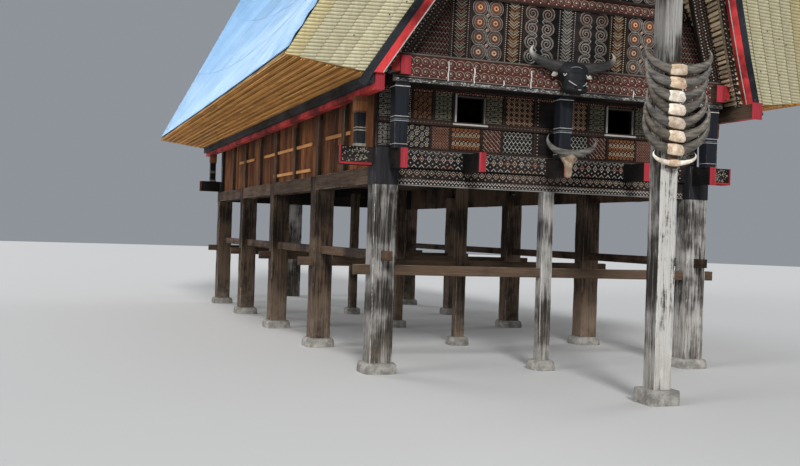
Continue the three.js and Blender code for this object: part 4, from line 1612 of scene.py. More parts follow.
        paints = np.array([(0.54, 0.44, 0.31), (0.38, 0.36, 0.32), (0.52, 0.27, 0.20), (0.58, 0.55, 0.50)])
        mixed = paints[np.random.default_rng(9).integers(0, 4, len(u))]
        c.draw(CHEVRON, row(2.555), (0.036, 0.024), 0.008, GREY)
        c.draw(CHEVRON, row(2.538), (0.036, 0.024), 0.006, mixed * 0.6)
        c.draw(CHEVRON * (1, -1), row(2.392), (0.030, 0.030), 0.009, mixed)
        for v in (2.522, 2.425):
            c.pegs(row(v) + (pitch / 2, 0), 0.011, GREY, sides=4)
        c.draw(DIAMOND, row(2.478), (0.027, 0.036), 0.008, mixed[::-1], loop=True)
        c.pegs(row(2.478), 0.010, mixed, sides=5)
        c.pegs(row(2.446), 0.009, (0.84, 0.80, 0.74), sides=5)
        c.pegs(row(2.474) + (pitch / 2, 0), 0.008, (0.4, 0.12, 0.09), sides=4)
        c.bar((-1.95, 2.573), (1.95, 2.573), 0.010, 0.008, (0.10, 0.08, 0.07))
        rng = np.random.default_rng(8)
        dots = 90
        for side in (-1, 1):
            spots = coords(side * rng.uniform(2.30, 2.62, dots), rng.uniform(2.405, 2.57, dots))
            sizes = rng.uniform(0.005, 0.011, (dots, 1, 1))
            pale = rng.uniform(0.5, 1, (dots, 1)) * (0.46, 0.42, 0.33)
            c.pegs(spots, sizes, pale, sides=5, height=0.005)
            c.bar((side * 2.27, 2.385), (side * 2.655, 2.385), 0.026, 0.016, RED)
            c.bar((side * 2.645, 2.372), (side * 2.645, 2.582), 0.020, 0.018, RED)

    def apron(self, c: Carving) -> None:
        """Diamonds and dots over a row of pale teeth along the lower edge."""
        pitch = 0.092
        u = np.arange(-1.88, 1.89, pitch)
        row = coords(u, 0 * u)
        c.draw(DIAMOND, row + (0, 2.318), (0.036, 0.032), 0.008, (0.52, 0.40, 0.32), loop=True)
        c.pegs(row + (0, 2.318), 0.011, CREAM, sides=4)
        c.pegs(row + (pitch / 2, 2.345), 0.008, GREY, sides=4)
        c.pegs(row + (pitch / 2, 2.272), 0.012, (0.45, 0.38, 0.30), sides=4)
        fine = np.arange(-1.93, 1.94, pitch / 2)
        teeth = coords(fine, 2.222)
        c.draw(CHEVRON * (1, -1), teeth, (0.022, 0.030), 0.008, (0.62, 0.58, 0.52))
        c.pegs(teeth + (pitch / 4, 0.014), 0.008, RUST, sides=4)
        c.pegs(teeth - (0, 0.034), (0.018, 0.013), (0.55, 0.52, 0.47), sides=3, turn=math.pi / 2)
        c.bar((-1.96, 2.168), (1.96, 2.168), 0.014, 0.010, (0.30, 0.28, 0.25))

    def beam_ends(self, shell: Shell) -> None:
        """Red boards on the ends of the floor beams and of the beams under the eaves."""
        boards = [(x, self.wall_reach + 0.56, 2.4425, 0.086, 0.222) for x in self.beams]
        boards += [(s * 2.075, 5.82, 3.46, 0.118, 0.208) for s in (-1, 1)]
        near, far = (2.395, 5.895, 3.24, 0.108, 0.184), (2.405, 6.095, 3.24, 0.150, 0.205)
        boards += [(-near[0], *near[1:]), far if self.end is End.FRONT else near]
        table = np.array(boards)
        y = self.end.value * (table[:, 1] + 0.004)
        low = coords(table[:, 0], y, table[:, 2] - table[:, 4] / 2)
        look = {"tint": (0.44, 0.040, 0.055), "bevel": 0.003}
        shell.uprights(low, table[:, 4:5], coords(table[:, 3], 0.012), rough=0.001, count=3, **look)


@dataclass
class Gable:
    """The gable wall: carved tiers between spiral bands, up to the apex."""

    end: End
    reach: float = 5.62
    lean: float = 0.05
    foot: float = 3.62
    tiers: tuple[tuple[float, float], ...] = ((3.63, 4.31), (4.50, 5.16), (5.34, 5.92), (6.08, 6.50))

    def half(self, v: Array) -> Array:
        """Half the gable's width at a height, looked up along the underside of the roof."""
        edge = ROOF.lining(np.linspace(0, 1, 60), self.reach + 0.08)
        return np.interp(v, edge[:, 2], edge[:, 0]) - 0.05

    def height(self, x: float) -> float:
        """Height at which the underside of the roof comes as near to the middle as x."""
        v = np.linspace(self.foot, 6.7, 60)
        return float(np.interp(-x, -self.half(v), v))

    def build(self, paint: Material, wood: Material) -> None:
        """Carves the tiers and the bands between them."""
        face = end_face(self.end, self.reach, self.lean, self.foot)
        c = Carving(face, limit=self.half)
        for low, high in self.tiers:
            self.tier(c, low, high)
            wide = float(self.half(high + 0.16))
            if wide > 0.2:
                c.plate((-wide, high + 0.03, wide, high + 0.15), (0.12, 0.040, 0.028))
                c.running((-wide, high + 0.035, wide, high + 0.145), 0.104, 1, ((0.46, 0.37, 0.30), INK))
                for v in (high + 0.015, high + 0.165):
                    c.bar((-wide - 0.08, v), (wide + 0.08, v), 0.030, 0.030)
        c.build(f"gable_{self.end.label}", paint, wood)

    def tier(self, c: Carving, low: float, high: float) -> None:
        """One tier: a dotted strip, spirals, chevrons, rings, arrows and woven triangles, mirrored."""
        rows = 4 if high - low > 0.6 else 3
        width = float(self.half(low))
        woven = (0.044, ((0.24, 0.075, 0.050), (0.27, 0.23, 0.20)))
        c.leaves((-0.12, low, 0.12, high), 0.040, (GREY, (0.62, 0.58, 0.52)))
        for side in (-1, 1):
            for start, stop, make, *how in (
                (0.16, 0.56, c.hearts, rows),
                (0.58, 0.81, c.leaves, 0.036, (CREAM, ORANGE)),
                (0.83, 1.23, c.rounds, rows),
                (1.25, 1.48, c.leaves, 0.040, ((0.42, 0.36, 0.28), (0.34, 0.15, 0.09))),
                (1.50, 2.05, c.weave, *woven),
            ):
                if start > width:
                    continue
                if stop > width - 0.1 and stop < 1.9:
                    u = sorted((side * start, side * width))
                    c.weave((u[0], low, u[1], high), *woven)
                    break
                u = sorted((side * start, side * stop))
                make((u[0], low, u[1], high), *how)
                top = min(high, self.height(stop + 0.02))
                if stop < 1.9 and top > low + 0.15:
                    c.bar((side * (stop + 0.01), low), (side * (stop + 0.01), top), 0.018, 0.020)


# Timber, posts, walls and what hangs on them


def swept(
    path: Array, side: Array, top: Array, size: tuple[float, float], bevel: float = 0.004
) -> tuple[Array, Array]:
    """Rings of a box profile carried along a path, with the worn-edge mark of its points.

    Args:
        path: Points of the middle line, shape (n, 3).
        side: Direction across at each point or for all.
        top: Direction of the height.
        size: Width across and height.
        bevel: Width of the rounded corners.

    Returns:
        Rings for Shell.tubes and marks for its points around.
    """
    flat, round_, mark = profile(1)
    cross = flat * (np.array(size) / 2 - bevel) + round_ * bevel
    side, top = np.broadcast_to(unit(side), path.shape), np.broadcast_to(unit(top), path.shape)
    rings = path[:, None] + cross[None, :, :1] * side[:, None] + cross[None, :, 1:] * top[:, None]
    return rings[None], mark


@dataclass
class Overhang:
    """Under the leaning roof ends: laths, carved sloping beams and the pale lines of the barge boards."""

    end: End
    lath_pitch: float = 0.062
    barge_reach: float = 5.89
    barge_front: float = 0.0504
    gable: tuple[float, float, float] = (Gable.reach, Gable.lean, Gable.foot)
    beam_lean: float = 0.38
    line_x: float = 2.374
    lining_rise: float = 4.0
    slope_length: float = 4.58

    def build(self, paint: Material) -> None:
        """Makes the laths, the beams and the lines."""
        kinds = (
            ("overhang_laths", LATH.material(), "bamboo", self.laths),
            ("overhang_beams", paint, "carved_wood", self.beam),
            ("barge_lines", paint, "red_paint", self.lines),
        )
        for name, finish, slot, fill in kinds:
            shell = Shell()
            for side in Side:
                fill(shell, side.value)
            shell.build(f"{name}_{self.end.label}", finish, slot)

    def laths(self, shell: Shell, side: int) -> None:
        """Sticks that run out under the lining from the gable to the barge boards, in uneven lengths."""
        rng = np.random.default_rng(31 + side + self.end.value)
        share = np.arange(0.012, 0.985, self.lath_pitch / self.slope_length)
        count = len(share)
        share = share + rng.uniform(-0.0015, 0.0015, count)
        rise = self.lining_rise * share
        reach, lean, foot = self.gable
        near = reach + lean * (ROOF.foot_z + rise - foot) - 0.02
        far = ROOF.reach(self.barge_reach, rise) - 0.012 - rng.uniform(0, 0.03, count)
        size = coords(rng.uniform(0.028, 0.042, count), rng.uniform(0.024, 0.036, count))
        path = ROOF.lining(share[:, None], mix(near, far, np.linspace(0, 1, 7)[:, None]).T)
        out = ROOF.outward(path)
        path = (path - out * (size[:, 1:, None] / 2 - 0.002)) * (1, -1, 1)
        flat, round_, mark = profile(1)
        cross = (flat * (size[:, None] / 2 - 0.006) + round_ * 0.006)[:, None]
        across = coords(-out[..., 2], 0 * out[..., 0], out[..., 0])[:, :, None]
        rings = path[:, :, None] + cross[..., :1] * across + cross[..., 1:] * out[:, :, None]
        place = rings[..., [0, 2, 1]] + rng.uniform(0, 9, (count, 1, 1, 3))
        tone = rng.uniform(0.2, 0.8, count)
        shell.tubes(sided(rings, side, -self.end.value), tone=tone, edge=mark, grain=place)

    def beam(self, shell: Shell, side: int) -> None:
        """The speckled beam up the gable's edge, with a pale batten and a studded strip beside it."""
        reach, _, gable_foot = self.gable
        face = end_face(self.end, reach, self.beam_lean, gable_foot)
        low, high = 3.50, 7.12
        flip = -side * self.end.value

        def line(v: float) -> list[float]:
            """Middle of the beam at a height: it keeps its distance from the sloping underside."""
            share = (v - ROOF.foot_z) / (ROOF.apex_tip - ROOF.foot_z)
            return [flip * (mix(ROOF.foot_x, ROOF.apex_half, share) - 0.125), v]

        start, stop = line(low), line(high)
        ends = face.at(np.array([start, stop]), 0.035)
        look = {"bevel": 0.008, "tint": (0.030, 0.020, 0.015)}
        shell.bars(*ends, (0.20, 0.09), up=face.normal, count=12, rough=0.002, **look)
        raised = Carving(face.raised(0.081), shell)
        rng = np.random.default_rng(41 + side)
        share = np.linspace(0.01, 0.99, 110)
        middle = mix(np.array(start), np.array(stop), share[:, None])
        across = np.array([stop[1] - start[1], start[0] - stop[0]])
        across = across / np.linalg.norm(across)
        dark = (0.20, 0.10, 0.07)
        studs = ((-0.075, GREY), (-0.038, dark), (0.0, GREY), (0.038, dark), (0.075, (0.34, 0.28, 0.2)))
        for offset, tint in studs:
            jitter = rng.uniform(-0.006, 0.006, (len(share), 1))
            spots = middle + across * (offset + jitter)
            raised.pegs(spots, (0.011, 0.009), tint, sides=4, height=0.006, turn=0.6)
        foot = face.at(np.array([[start[0], low - 0.02]]), 0.06)[0]
        spot = foot + (0, 0.16 * self.end.value, 0.02)
        shell.bars(foot, spot, 0.17, bevel=0.008, tint=(0.16, 0.15, 0.15), rough=0.002, count=4)
        shell.bars(spot, spot + (0, 0.014 * self.end.value, 0), 0.176, bevel=0.003, tint=RED)
        self.strips(shell, side)

    def strips(self, shell: Shell, side: int) -> None:
        """A pale batten and a dark strip with pale studs, just behind the barge boards."""
        rise = np.linspace(0.03, 3.9, 60)
        share = rise / self.lining_rise
        dark, pale = (0.035, 0.026, 0.022), (0.36, 0.27, 0.17)
        for back, size, tint in ((0.055, (0.05, 0.055), dark), (0.125, (0.035, 0.04), pale)):
            point = ROOF.lining(share, ROOF.reach(self.barge_reach, rise) - back)
            out = ROOF.outward(point)
            point = point - out * size[1] * 0.5
            path = sided(point * (1, -1, 1), side, self.end.value)
            top = out * np.array([side, 1, 1])
            along = unit(np.gradient(path, axis=0))
            rings, mark = swept(path, np.cross(along, top), top, size)
            shell.tubes(rings, tint, edge=mark)
        studs = np.arange(0.05, 3.85, 0.05)
        point = ROOF.lining(studs / self.lining_rise, ROOF.reach(self.barge_reach, studs) - 0.055)
        out = ROOF.outward(point)
        path = sided((point - out * 0.052) * (1, -1, 1), side, self.end.value)
        down = -out * np.array([side, 1, 1])
        heads, bone = path + down * 0.008, (0.42, 0.36, 0.26)
        shell.bars(path, heads, (0.020, 0.016), up=(0, 1, 0), bevel=0.003, fine=0, tint=bone)

    def lines(self, shell: Shell, side: int) -> None:
        """A thin pale line between the black and the red board."""
        rise = np.linspace(0.0, 3.93, 70)
        x = self.line_x - BARGE_SLOPE * rise
        reach = ROOF.reach(self.barge_reach, rise) + self.barge_front
        path = coords(side * x, self.end.value * reach, ROOF.foot_z + rise)[x > 0.02]
        out = np.array([0.0, float(self.end.value), -ROOF.lean])
        rings, mark = swept(path, np.array([1.0, 0.0, BARGE_SLOPE * side]), out, (0.012, 0.012), 0.002)
        shell.tubes(rings, (0.60, 0.56, 0.52), edge=mark)


@dataclass
class SideWall:
    """One long wall: upright planks of many tones between posts, battens and the stubs of cross beams."""

    side: Side
    face_x: float = 2.14
    foot: float = 2.165
    top: float = 3.34
    reach: float = 5.19
    studs: tuple[float, ...] = (-3.90, -2.65, -1.30, 0.0, 1.30, 2.65, 3.90)
    battens: tuple[tuple[float, float, float], ...] = (
        (-4.15, -3.0, 2.845),
        (-2.25, 1.0, 2.84),
        (1.9, 3.3, 2.86),
        (-2.2, 0.2, 2.47),
    )
    sill_top: float = 2.365
    post_top: float = 3.149
    pillar_ends: tuple[float, ...] = (-5.115, -2.795, -2.505, -0.145, 0.145, 2.505, 2.795, 5.115)

    def build(self) -> None:
        """Makes the planks, the posts and the battens."""
        label, sign = self.side.label, self.side.value
        rng = np.random.default_rng(51 + sign)
        planks = Shell()
        cuts = self.cuts(rng)
        low, high = cuts[:, 0] + 0.003, cuts[:, 1] - 0.003
        count = len(cuts)
        x = sign * (self.face_x + rng.uniform(0.004, 0.012, count))
        middle = (low + high) / 2
        feet = coords(x, middle, self.foot + rng.uniform(0, 0.008, count))
        heads = coords(x, middle, np.full(count, self.top))
        sizes = coords(high - low, np.full(count, 0.024))
        tones = np.clip(rng.normal(0.5, 0.24, count), 0.05, 0.98)
        look = {"count": 16, "fine": 4, "seed": 7, "tone": tones}
        planks.bars(feet, heads, sizes, up=(sign, 0, 0), bevel=0.004, rough=0.0016, **look)
        planks.build(f"wall_planks_{label}", PLANK.material(), "plank")
        posts = Shell()
        y = np.array(self.studs)
        foot = coords(sign * (self.face_x + 0.033), y, self.sill_top)
        head = foot + (0, 0, self.post_top - self.sill_top)
        tones = rng.uniform(0.3, 0.6, len(y))
        posts.bars(
            foot, head, (0.128, 0.084), (sign, 0, 0), bevel=0.008, rough=0.003, count=20, fine=3, tone=tones
        )
        ends = np.array(self.pillar_ends).reshape(-1, 2)
        sill = np.array([sign * (self.face_x + 0.055), 0.0, (self.foot + self.sill_top) / 2])
        along = np.array([0.0, 1.0, 0.0])
        size, tones = (0.11, self.sill_top - self.foot), np.array([0.5, 0.35, 0.6, 0.45])
        sills = (sill + along * ends[:, :1], sill + along * ends[:, 1:])
        posts.bars(*sills, size, rough=0.006, count=24, fine=5, bevel=0.014, tone=tones)
        posts.build(f"wall_posts_{label}", DARK_BAR.material(), "dark_wood")
        battens = Shell()
        for start, stop, z in self.battens:
            x = sign * (self.face_x + 0.036)
            ends, tone = ([x, start, z], [x, stop, z + 0.012]), rng.uniform(0.4, 0.6)
            battens.bars(*ends, (0.026, 0.048), bevel=0.004, rough=0.0015, count=14, fine=2, tone=tone)
        battens.build(f"wall_battens_{label}", BATTEN.material(), "plank")

    def cuts(self, rng: np.random.Generator) -> Array:
        """Start and end of each plank between the posts: widths from a random draw that fill each bay."""
        edges = [-self.reach, *self.studs, self.reach]
        rows = []
        for start, stop in zip(edges[:-1], edges[1:]):
            start = start + (0.062 if start > -self.reach else 0)
            stop = stop - (0.062 if stop < self.reach else 0)
            number = max(2, round((stop - start) / 0.165))
            widths = rng.uniform(0.7, 1.3, number)
            marks = start + np.concatenate([[0], np.cumsum(widths) / widths.sum()]) * (stop - start)
            rows.append(coords(marks[:-1], marks[1:]))
        return np.concatenate(rows)


@dataclass
class Substructure:
    """Hewn pillars on stones, cross ties, and black corner blocks at the sills."""

    side_x: float = 2.11
    rows: tuple[float, ...] = (-5.26, -2.65, 0.0, 2.65, 5.26)
    nodes: tuple[str, ...] = (
        "pillar_row_front",
        "pillar_row_inner_1",
        "pillar_row_inner_2",
        "pillar_row_inner_3",
        "pillar_row_rear",
    )
    width: float = 0.28
    slim: float = 0.15
    outer_top: float = 2.165
    inner_top: float = 2.355
    tie_z: float = 1.18
    block_height: float = 0.42
    stone_top: float = 0.12

    def build(self, paint: Material) -> None:
        """Makes the pillars, the ties, the stones and the corner blocks."""
        front, inner, ties, stones, blocks = (Shell() for _ in range(5))
        for row, y in enumerate(self.rows):
            pillars = inner if row else front
            outer = row in (0, len(self.rows) - 1)
            height = (self.outer_top if outer else self.inner_top) - self.stone_top
            for sign in (-1, 1):
                foot = np.array([[sign * self.side_x, y, self.stone_top - 0.004]])
                look = {"seed": 60 + row * 2 + sign, "tone": 0.45 + 0.08 * sign}
                pillars.uprights(
                    foot, height, self.width, bevel=0.02, rough=0.008, count=40, fine=7, **look
                )
                if outer:
                    base = foot + (0, 0, height - 0.004)
                    look = {"bevel": 0.008, "rough": 0.002, "tint": (0.022, 0.022, 0.026)}
                    blocks.uprights(base, self.block_height, self.width + 0.004, count=8, fine=3, **look)
                self.stone(stones, sign * self.side_x, y, 0.42, row * 2 + sign)
            middle = np.array([[0.0, y, self.stone_top - 0.004]])
            look = {"seed": 80 + row, "tone": 0.4}
            pillars.uprights(middle, height, self.slim, bevel=0.012, rough=0.005, count=40, fine=3, **look)
            self.stone(stones, 0.0, y, 0.30, row + 20)
            for start, stop in ((-2.43, -0.073), (0.073, 2.43)):
                ends = [[start, y, self.tie_z]], [[stop, y, self.tie_z]]
                ties.bars(*ends, (0.09, 0.12), bevel=0.008, rough=0.004, count=24, fine=2, seed=90 + row)
        front.build("hewn_pillars_front", OLD_WOOD.material(), "old_wood", self.nodes[:1])
        # The pillars under the house are a darker brown with painted shade.
        inner.build("hewn_pillars_inner", BROWN_SHADED_WOOD.material(), "old_wood", self.nodes[1:])
        ties.build("cross_ties", DARK_BAR.material(), "dark_wood")
        stones.build("base_stones", STONE.material(), "concrete")
        blocks.build("corner_blocks", paint, "black_paint")

    def stone(self, shell: Shell, x: float, y: float, width: float, seed: int) -> None:
        """A flat stone: a rounded square that narrows to the top, with a wavering rim."""
        rng = np.random.default_rng(100 + seed)
        angle = np.linspace(0, 2 * np.pi, 24, endpoint=False)
        square = 1 / (np.abs(np.cos(angle)) ** 5 + np.abs(np.sin(angle)) ** 5) ** 0.2
        knots = np.append(rng.uniform(-1, 0, 8), 0)
        wobble = 1 + 0.04 * np.interp(angle, np.linspace(0, 2 * np.pi, 9), knots, period=2 * np.pi)
        levels = ((0.0, 0.985), (0.35, 1.0), (0.75, 0.97), (0.95, 0.90), (1.0, 0.80))
        height, size = np.array(levels).T[..., None]
        radius = square * wobble * size * width / 2
        rings = coords(x + radius * np.cos(angle), y + radius * np.sin(angle), height * self.stone_top)
        shell.tubes(rings[None], tone=rng.uniform(0.35, 0.65))


@dataclass
class Posts:
    """The black facade posts, the turned-out corner posts and the weathered posts under the ridge ends."""

    screen_x: tuple[float, ...] = (-2.06, 0.0, 2.06)
    screen_y: float = 5.62
    screen_z: tuple[float, float] = (2.5506, 3.2846)
    screen_size: tuple[float, float] = (0.150, 0.176)
    corner: tuple[float, float] = (2.40, 5.23)
    ridge_y: float = 7.7
    bands: tuple[tuple[float, float, Colour], ...] = (
        (3.236, 0.009, WHITE),
        (2.902, 0.008, (0.50, 0.50, 0.50)),
        (2.872, 0.006, (0.20, 0.21, 0.22)),
        (2.852, 0.008, (0.40, 0.41, 0.42)),
        (2.596, 0.007, GREY),
    )

    def build(self, paint: Material) -> None:
        """Makes the posts of both ends."""
        names = ("left", "centre", "right")
        for end in End:
            for x, name in zip(self.screen_x, names):
                shell = Shell()
                self.screen(shell, x, end.value * self.screen_y)
                if end is End.FRONT:
                    stands = [f"facade_post_{name}"]
                else:
                    stands = ["rear_post_screen"] if name == "centre" else []
                shell.build(f"screen_post_{name}_{end.label}", paint, "black_paint", stands)
            for side in Side:
                shell = Shell()
                self.corner_post(shell, side.value * self.corner[0], end.value * self.corner[1])
                place = f"{end.label}_{side.label}"
                shell.build(f"corner_post_{place}", paint, "carved_wood", [f"eave_post_{place}"])
        self.ridge_posts()

    def screen(self, shell: Shell, x: float, y: float) -> None:
        """A post that widens upwards, with a white line at its head and thin bands below it."""
        low, high = self.screen_z
        start, stop = self.screen_size
        base = np.array([[x, y, low]])
        black = (0.014, 0.017, 0.024)
        look = {"taper": stop / start, "seed": int(50 + x * 3), "tint": black}
        shell.uprights(base, high - low, start, bevel=0.01, rough=0.0015, count=24, fine=4, **look)
        for place, height, tint in self.bands:
            size = mix(start, stop, (place - low) / (high - low)) + 0.008
            foot = np.array([[x, y, place]])
            shell.uprights(foot, height, size, bevel=0.006, fine=3, tint=tint)

    def corner_post(self, shell: Shell, x: float, y: float) -> None:
        """A banded post on the end of the sill: wooden head, black shaft with a pale band, pale foot."""
        parts = (
            (2.5806, 2.614, 0.128, (0.30, 0.27, 0.23)),
            (2.614, 2.758, 0.114, INK),
            (2.758, 2.772, 0.120, (0.34, 0.29, 0.23)),
            (2.772, 2.790, 0.116, INK),
            (2.790, 2.802, 0.120, (0.34, 0.29, 0.23)),
            (2.802, 2.965, 0.114, INK),
            (2.965, 2.985, 0.126, (0.16, 0.08, 0.05)),
            (2.985, 3.090, 0.138, (0.34, 0.14, 0.05)),
            (3.090, 3.1496, 0.142, (0.20, 0.08, 0.04)),
        )
        for low, high, size, tint in parts:
            foot = np.array([[x, y, low]])
            shell.uprights(foot, high - low, size, bevel=0.007, rough=0.001, count=5, fine=2, tint=tint)

    def ridge_posts(self) -> None:
        """Square posts with deep upright cracks, from the ground or the plinth to the ridge beam."""
        for end in End:
            name = f"ridge_post_{end.label}"
            low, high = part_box(name)
            middle = np.array([[(low.x + high.x) / 2, end.value * self.ridge_y, low.z]])
            size = high.x - low.x
            shell = Shell()
            look = {"count": 150, "fine": 9, "seed": 120 + end.value}
            shell.uprights(middle, high.z - low.z, size, bevel=0.009, rough=0.005, **look)
            full = shell.points[0]
            # Painted light and shade: the fronts get a high tone and edge mark, so pale bare-wood colour,
            # and the sides a low tone; all is lighter below 2.2 m than above 3.3 m.
            bare = np.interp(full[:, 2], (2.2, 3.3), (1.0, 0.0))
            painted_lit_front = full[:, 1] * end.value > self.ridge_y + size * 0.47
            full[:, TONE] = np.where(painted_lit_front, mix(0.36, 0.98, bare), mix(0.26, 0.40, bare))
            full[:, EDGE] = np.maximum(full[:, EDGE] * 0.5, np.where(painted_lit_front, 1.05 * bare, 0.3 * bare))
            shell.build(f"weathered_{name}", OLD_WOOD.material(), "old_wood", [name])
        low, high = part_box("post_plinth_front")
        plinth = Shell()
        levels = ((0.0, 1.0), (0.2, 1.0), (0.8, 0.99), (0.96, 0.97), (1.0, 0.93))
        flat, round_, _ = profile(5)
        square = (flat * 0.93 + round_ * 0.07) * (high.x - low.x) / 2
        rings = [coords(*(square * size).T, mix(low.z, high.z, level)) for level, size in levels]
        middle = np.array([(low.x + high.x) / 2, (low.y + high.y) / 2, 0.0])
        plinth.tubes((np.stack(rings) + middle)[None], tone=0.55)
        plinth.build("plinth_block", STONE.material(), "concrete", ["post_plinth_front"])


# Angle through which a horn curls
HORN_TURN = 0.62 * np.pi
# The carved head from chin to crown: share of its height, half width, half depth and how far it stands out
HEAD_SHAPE = (
    (0.0, 0.062, 0.060, 0.165),
    (0.04, 0.098, 0.095, 0.158),
    (0.10, 0.116, 0.112, 0.150),
    (0.18, 0.114, 0.116, 0.142),
    (0.28, 0.104, 0.112, 0.128),
    (0.40, 0.108, 0.110, 0.112),
    (0.52, 0.126, 0.112, 0.100),
    (0.62, 0.146, 0.114, 0.092),
    (0.72, 0.154, 0.110, 0.084),
    (0.82, 0.150, 0.100, 0.078),
    (0.90, 0.132, 0.085, 0.074),
    (0.96, 0.098, 0.062, 0.072),
    (1.0, 0.055, 0.035, 0.070),
)


def horn(
    reach: float, rise: float, thick: float, side: int, rings: int = 20, around: int = 12
) -> tuple[Array, Array]:
    """A horn from the middle outwards: out is reach times the sine of the turn, lift follows its cosine.

    Args:
        reach: How far it goes out.
        rise: How far it goes up.
        thick: Thickness at the root.
        side: -1 for the left horn and 1 for the right.
        rings: Rings along it.
        around: Points round it.

    Returns:
        Rings about the root and the share along the horn at each point.
    """
    share = np.linspace(0, 1, rings)
    turn = share * HORN_TURN
    x = reach * np.sin(turn)
    z = rise * (1 - np.cos(turn)) / (1 - math.cos(HORN_TURN))
    y = -0.03 * np.sin(turn)
    path = coords(side * x, y, z)
    growth = 1 + 0.035 * np.sin(share * 70) * np.clip(1.2 - 2 * share, 0, 1)
    radius = thick / 2 * np.maximum(1 - share**1.45, 0.03) * growth
    along = unit(np.gradient(path, axis=0))
    out = np.array([0.0, -1.0, 0.0])
    other = np.cross(along, out)
    angle = np.linspace(0, 2 * np.pi, around, endpoint=False)
    ring_points = np.cos(angle)[:, None] * other[:, None] + 0.82 * np.sin(angle)[:, None] * out
    points = path[:, None] + radius[:, None, None] * ring_points
    return points[None], np.broadcast_to(share[None, :, None], (1, rings, around))


@dataclass
class Trophies:
    """Horn pairs up the front ridge post, the carved buffalo head and the skull on the middle post."""

    post_front: float = -7.80
    horns: int = 8
    first: float = 2.33
    pitch: float = 0.130
    head_foot: float = 3.29
    lintel_face: float = -5.7004
    head_height: float = 0.385
    skull_foot: float = 2.32
    skull_height: float = 0.325
    skull_face: float = -5.7704

    def build(self, paint: Material) -> None:
        """Makes the stack, the head and the skull."""
        horn_finish, bone = HORN.material(), BONE.material()
        self.stack(horn_finish, bone)
        self.head(paint, horn_finish)
        self.skull(bone, horn_finish)

    def stack(self, horn_finish: Material, bone: Material) -> None:
        """Pairs of horns over each other with a plate of skull in the middle of each."""
        rng = np.random.default_rng(71)
        horns, plates, pale = Shell(), Shell(), Shell()
        spread = (1.0, 1.0, 0.98, 0.90, 0.84, 0.90, 0.98, 1.0)
        lift = (1.0, 0.400, 0.375, 0.345, 0.325, 0.300, 0.270, 0.240)
        for index in range(self.horns):
            height = self.first + index * self.pitch + 0.045
            root = np.array([rng.uniform(-0.008, 0.008), self.post_front - 0.056, height])
            for side in (-1, 1):
                if index == 0:
                    points, share = horn(0.245, 0.110, 0.056, side)
                    pale.tubes(points + root, tone=0.9, edge=share * 0.5, grain=points + root)
                    continue
                size = spread[index] * rng.uniform(0.95, 1.0)
                rise, thick = lift[index] * rng.uniform(0.90, 1.0), 0.118 * rng.uniform(0.92, 1.0)
                points, share = horn(0.385 * size, rise, thick, side)
                tint = mix(np.ones(3), np.array([1.0, 0.84, 0.66]), rng.uniform(0, 0.8))
                grain = points + root + rng.uniform(0, 9, 3)
                horns.tubes(points + root, tint, rng.uniform(0.25, 0.75), share * 0.62, grain)
            self.plate(plates, root, rng, 0.6 if index == 0 else 1.0)
        foot = np.array([[0, self.post_front - 0.029, self.first - 0.005]])
        look = {"tone": 0.0, "tint": (0.25, 0.17, 0.12)}
        plates.uprights(foot, self.horns * self.pitch, (0.108, 0.056), rough=0.002, count=20, **look)
        horns.build("horn_pairs", horn_finish, "horn", ["horn_stack"])
        pale.build("lowest_horn_pair", bone, "horn")
        plates.build("skull_plates", bone, "horn")

    def plate(self, shell: Shell, root: Array, rng: np.random.Generator, size: float) -> None:
        """A square piece of skull: a block with a crowned front and a pit on each side."""
        wide, high, deep = 0.098 * size, 0.054 * size, 0.058
        tilt = rng.uniform(-0.10, 0.10)

        def place(a: Array, b: Array, c: Array) -> Array:
            """Crown of the front and pull of the corners."""
            x, z = (2 * a - 1), (2 * c - 1)
            crown = (1 - 0.35 * x**2) * (1 - 0.3 * z**2)
            pits = 0.30 * np.exp(-((np.abs(x) - 0.42) ** 2 + (z - 0.1) ** 2) / 0.03)
            y = -0.01 - deep * (1 - b) * (crown - pits)
            up = high * z * (1 - 0.1 * x**2) + tilt * wide * x
            return root + coords(wide * x * (1 - 0.16 * z**4), y, up)

        tint = mix(np.ones(3), np.array([0.72, 0.50, 0.32]), rng.uniform(0, 1) ** 1.5)
        shell.block((12, 3, 10), place, tone=rng.uniform(0.5, 0.95), tint=tint)

    def head(self, paint: Material, horn_finish: Material) -> None:
        """The carved head: ellipses whose width and depth follow a buffalo's face from chin to crown."""
        shell = Shell()
        height = self.head_height
        share, width, depth, out = np.array(HEAD_SHAPE).T
        fine = np.linspace(0, 1, 34)
        width, depth, out = (
            np.interp(fine, share, v) * grow for v, grow in ((width, 1.28), (depth, 1.12), (out, 1.12))
        )
        angle = np.linspace(0, 2 * np.pi, 28, endpoint=False)
        cos, sin = np.cos(angle), np.sin(angle)
        square = 1 / (np.abs(cos) ** 2.6 + np.abs(sin) ** 2.6) ** (1 / 2.6)
        carve = 1 - 0.03 * (np.cos(angle * 8)[None] > 0.3) * ((fine > 0.3) & (fine < 0.9))[:, None]
        x = width[:, None] * (cos * square)[None] * carve
        y = self.lintel_face - 0.004 - out[:, None] + depth[:, None] * (sin * square)[None] * carve
        y = np.minimum(y, self.lintel_face - 0.001)
        z = np.broadcast_to((self.head_foot + height * fine)[:, None], x.shape)
        shell.tubes(coords(x, y, z)[None], (0.020, 0.021, 0.024))
        self.features(shell, height)
        shell.build("carved_buffalo_head", paint, "black_paint", ["buffalo_head"])
        horns = Shell()
        root = np.array([0.0, self.lintel_face - 0.085, self.head_foot + 0.80 * height])
        for side in (-1, 1):
            points, along = horn(0.550, 0.224, 0.155, side, 26)
            horns.tubes(points + root, (0.55, 0.56, 0.60), 0.10, along, points + root)
        horns.build("carved_head_horns", horn_finish, "horn")

    def spot(self, x: Any, out: Any, up: Any) -> Array:
        """Points on the head: across, out from the lintel and up from the head's foot."""
        return coords(x, self.lintel_face - out, self.head_foot + up)

